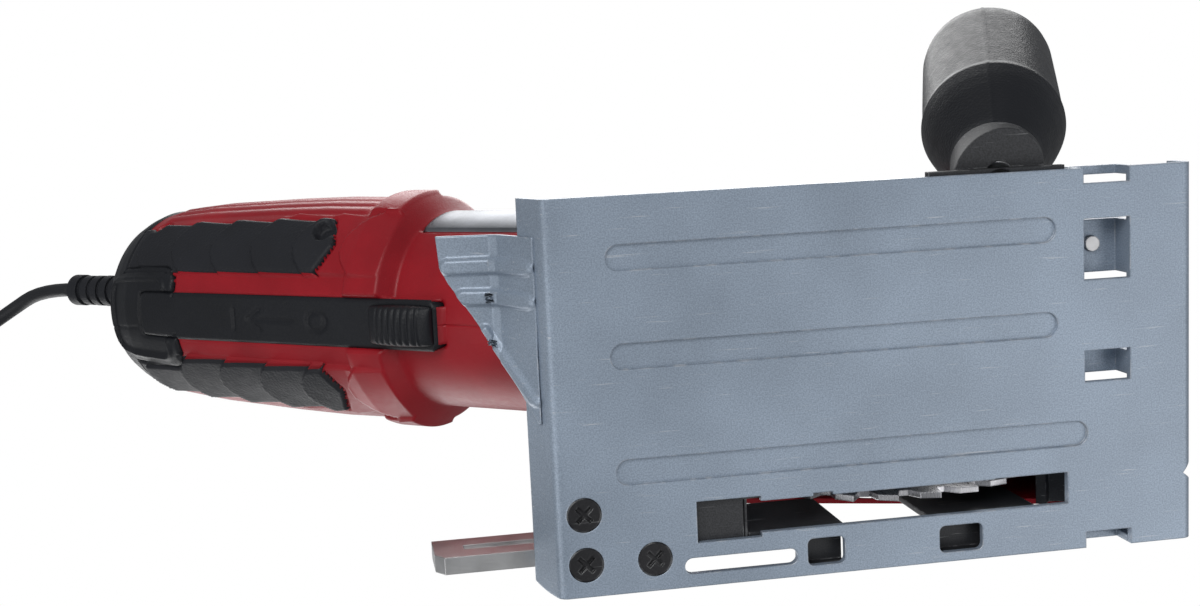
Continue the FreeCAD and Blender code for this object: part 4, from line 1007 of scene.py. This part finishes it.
def coil_turns(centre, first_height, sizes):
    """The turns of the coil, wound slot by slot beside the last, ending on the outside of the middle layer."""
    slots = [(1, 0), (0, 0), (-1, 0), (-1, 1), (-1, 2), (0, 2), (0, 1), (1, 1)]
    full = 2 * math.pi
    step = full / sizes.points_per_turn
    shift = math.pi / 4
    angle = math.pi
    points = []
    for i, (out, up) in enumerate(slots[:-1]):
        after = slots[i + 1]
        length = full - 2 * shift
        count = round(length / step)
        for j in range(count + 1):
            points.append(coil_point(centre, first_height, angle + length * j / count, out, up, sizes))
        angle += length + shift
        middle = ((out + after[0]) / 2, (up + after[1]) / 2)
        points.append(coil_point(centre, first_height, angle - shift / 2, *middle, sizes))
    length = math.ceil(angle / full) * full - angle
    count = round(length / step)
    for j in range(count + 1):
        points.append(coil_point(centre, first_height, angle + length * j / count, *slots[-1], sizes))
    return points


def coil_point(centre, first_height, turn, out, up, sizes):
    reach = (sizes.turn_radius + out * sizes.turn_gap) * 1.012
    height = first_height + up * (sizes.diameter + 0.00005)
    return (centre[0] + reach * math.cos(turn), centre[1] + reach * math.sin(turn), height)


def plug_lead(start):
    """The straight lead from the side of the coil to the plug, which comes down only once it is past the coil."""
    low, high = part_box("plug")
    plug_x, plug_z = (low[0] + high[0]) / 2, (low[2] + high[2]) / 2
    points = []
    for along, down in ((0.35, 0.0), (0.62, 0.15), (0.85, 0.7), (1.0, 1.0)):
        points.append((plug_x, start[1] + (low[1] - start[1]) * along, start[2] + (plug_z - start[2]) * down))
    points.append((plug_x, low[1] + 4 * MM, plug_z))
    return points


def cord_spline(points):
    """The cord's own line as a curve without thickness."""
    curve = bpy.data.curves.new("cord_line", "CURVE")
    curve.dimensions = "3D"
    curve.resolution_u = 6
    spline = curve.splines.new("NURBS")
    spline.points.add(len(points) - 1)
    for control, place in zip(spline.points, points):
        control.co = (*place, 1)
    spline.order_u = 3
    spline.use_endpoint_u = True
    return curve


def line_points(curve):
    """Points along a curve without thickness, read from its own mesh."""
    probe = bpy.data.objects.new("probe", curve)
    mesh = bpy.data.meshes.new_from_object(probe)
    places = [v.co.copy() for v in mesh.vertices]
    bpy.data.objects.remove(probe)
    bpy.data.meshes.remove(mesh)
    return places


def tube_mesh(places, radius, sides):
    """Rings of points and quads of a round tube along a line, with rings that turn as little as they can."""
    vertices, faces = [], []
    ahead = (places[1] - places[0]).normalized()
    across = ahead.orthogonal().normalized()
    for i, place in enumerate(places):
        following = places[min(i + 1, len(places) - 1)] - places[max(i - 1, 0)]
        heading = following.normalized()
        across = (across - heading * across.dot(heading)).normalized()
        up = heading.cross(across)
        for j in range(sides):
            turn = 2 * math.pi * j / sides
            vertices.append(place + (across * math.cos(turn) + up * math.sin(turn)) * radius)
    for i in range(len(places) - 1):
        for j in range(sides):
            k = (j + 1) % sides
            faces.append((i * sides + j, i * sides + k, (i + 1) * sides + k, (i + 1) * sides + j))
    faces.append(tuple(range(sides))[::-1])
    last = (len(places) - 1) * sides
    faces.append(tuple(range(last, last + sides)))
    return vertices, faces


class SAW_OT_cord(bpy.types.Operator):
    """Lays the mains cord from the boot to its coil and on to the plug"""
    bl_idname = "saw.cord"
    bl_label = "Mains cord"

    def execute(self, context):
        sizes = context.scene.saw_cord
        route = cord_route()
        end = route[-1]
        reach = sizes.turn_radius + 8.5 * MM - sizes.diameter / 2
        centre = (end[0] + reach, end[1] - 24.0 * MM)
        turns = coil_turns(centre, end[2], sizes)
        places = line_points(cord_spline(route + turns + plug_lead(turns[-1])))
        places = [p for i, p in enumerate(places) if not i or (p - places[i - 1]).length > 0.05 * MM]
        vertices, faces = tube_mesh(places, sizes.diameter / 2, 20)
        cord = new_object("mains_cord", vertices, faces, FINISHES["cord_rubber"])
        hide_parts("cord", "cord_coil")
        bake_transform(cord)
        return {"FINISHED"}


# ---------------------------------------------------------------- carried-over parts and stage


class SAW_OT_finish_parts(bpy.types.Operator):
    """Gives every part of the frame its finish"""
    bl_idname = "saw.finish_parts"
    bl_label = "Part finishes"

    def execute(self, context):
        for part in frame["record"]["subparts"]:
            node = NODES[part["node"]]
            finish = FINISHES[part["material_slot"]]
            if not node.material_slots:
                raise RuntimeError(f"{part['node']} has no material slot")
            for material_slot in node.material_slots:
                material_slot.link = "OBJECT"
                material_slot.material = finish
        return {"FINISHED"}


class SAW_OT_stage(bpy.types.Operator):
    """Sets the pale floor, the soft lights and the camera below the sole"""
    bl_idname = "saw.stage"
    bl_label = "Stage"

    def execute(self, context):
        scene = context.scene
        floor = new_object("floor", [(-3, -3, -0.0008), (3, -3, -0.0008), (3, 3, -0.0008), (-3, 3, -0.0008)],
                           [(0, 1, 2, 3)], stage_floor("pale_board", (0.80, 0.80, 0.80)), smooth=False)
        floor.visible_shadow = False
        floor.visible_diffuse = False
        floor.visible_glossy = False
        floor.visible_transmission = False

        world = bpy.data.worlds.new("soft_room")
        scene.world = world
        world.use_nodes = True
        tree = world.node_tree
        tree.nodes.clear()
        out = tree.nodes.new("ShaderNodeOutputWorld")
        out.label = "Room"
        seen = tree.nodes.new("ShaderNodeBackground")
        seen.label = "White backdrop"
        seen.inputs["Color"].default_value = (1, 1, 1, 1)
        seen.inputs["Strength"].default_value = 1.0
        cast = tree.nodes.new("ShaderNodeBackground")
        cast.label = "Soft room light"
        cast.inputs["Color"].default_value = (0.95, 0.97, 1.0, 1)
        cast.inputs["Strength"].default_value = 0.30
        path = tree.nodes.new("ShaderNodeLightPath")
        path.label = "Seen or lighting"
        choose = tree.nodes.new("ShaderNodeMixShader")
        choose.label = "Backdrop for the camera"
        tree.links.new(path.outputs["Is Camera Ray"], choose.inputs["Fac"])
        tree.links.new(cast.outputs["Background"], choose.inputs[1])
        tree.links.new(seen.outputs["Background"], choose.inputs[2])
        tree.links.new(choose.outputs["Shader"], out.inputs["Surface"])
        spread_nodes(tree.nodes)

        centre = Vector((-0.06, 0.0, 0.08))
        softboxes = [
            ("key_below", (-0.45, -0.60, -0.75), 0.6, 6.5),
            ("fill_below", (0.65, 0.35, -0.70), 0.8, 3.6),
            ("rear_low", (-0.95, 0.25, -0.45), 0.6, 1.8),
            ("top_box", (0.25, -0.65, 1.10), 1.0, 13.0),
            ("top_fill", (-0.60, 0.85, 0.90), 0.9, 7.0),
        ]
        for name, place, size, power in softboxes:
            data = bpy.data.lights.new(name, "AREA")
            data.shape = "SQUARE"
            data.size = size
            data.energy = power
            lamp = bpy.data.objects.new(name, data)
            lamp.location = place
            lamp.rotation_euler = (centre - Vector(place)).to_track_quat("-Z", "Y").to_euler()
            lamp.visible_camera = False
            scene.collection.objects.link(lamp)

        right = Vector((0.9843, 0.0474, -0.1699)).normalized()
        ahead = Vector((0.1625, 0.1312, 0.9780)).normalized()
        up = right.cross(ahead).normalized()
        right = ahead.cross(up)
        turn = Matrix((right, up, -ahead)).transposed().to_4x4()
        lens = bpy.data.cameras.new("camera")
        lens.sensor_fit = "HORIZONTAL"
        lens.sensor_width = 36.0
        lens.lens = 48.0
        lens.clip_start = 0.01
        camera = bpy.data.objects.new("camera", lens)
        camera.matrix_world = Matrix.Translation(Vector((-0.1370, -0.0761, -0.3868))) @ turn
        scene.collection.objects.link(camera)
        scene.camera = camera
        scene.view_settings.view_transform = "Standard"
        return {"FINISHED"}


class SAW_PT_build(bpy.types.Panel):
    """Lists the steps that finish the saw"""
    bl_label = "Plunge Saw"
    bl_idname = "SAW_PT_build"
    bl_space_type = "VIEW_3D"
    bl_region_type = "UI"
    bl_category = "Plunge Saw"

    def draw(self, context):
        layout = self.layout
        for group in (context.scene.saw_sizes, context.scene.saw_cord, context.scene.saw_finish):
            box = layout.box()
            for name in group.__annotations__:
                box.prop(group, name)
        for operator in OPERATORS:
            layout.operator(operator.bl_idname)


OPERATORS = (
    SAW_OT_finish_parts,
    SAW_OT_body_skins,
    SAW_OT_switch_thumb,
    SAW_OT_front_knob,
    SAW_OT_finger_guard,
    SAW_OT_cord,
    SAW_OT_stage,
)
CLASSES = (SawSizes, CordSizes, SawFinish, *OPERATORS, SAW_PT_build)


def register():
    for cls in CLASSES:
        bpy.utils.register_class(cls)
    bpy.types.Scene.saw_sizes = PointerProperty(type=SawSizes)
    bpy.types.Scene.saw_cord = PointerProperty(type=CordSizes)
    bpy.types.Scene.saw_finish = PointerProperty(type=SawFinish)


def unregister():
    del bpy.types.Scene.saw_finish
    del bpy.types.Scene.saw_cord
    del bpy.types.Scene.saw_sizes
    for cls in reversed(CLASSES):
        bpy.utils.unregister_class(cls)


def main():
    register()
    make_finishes()
    for operator in OPERATORS:
        group, name = operator.bl_idname.split(".")
        getattr(getattr(bpy.ops, group), name)()
    bpy.context.view_layer.update()


if __name__ == "__main__":
    main()
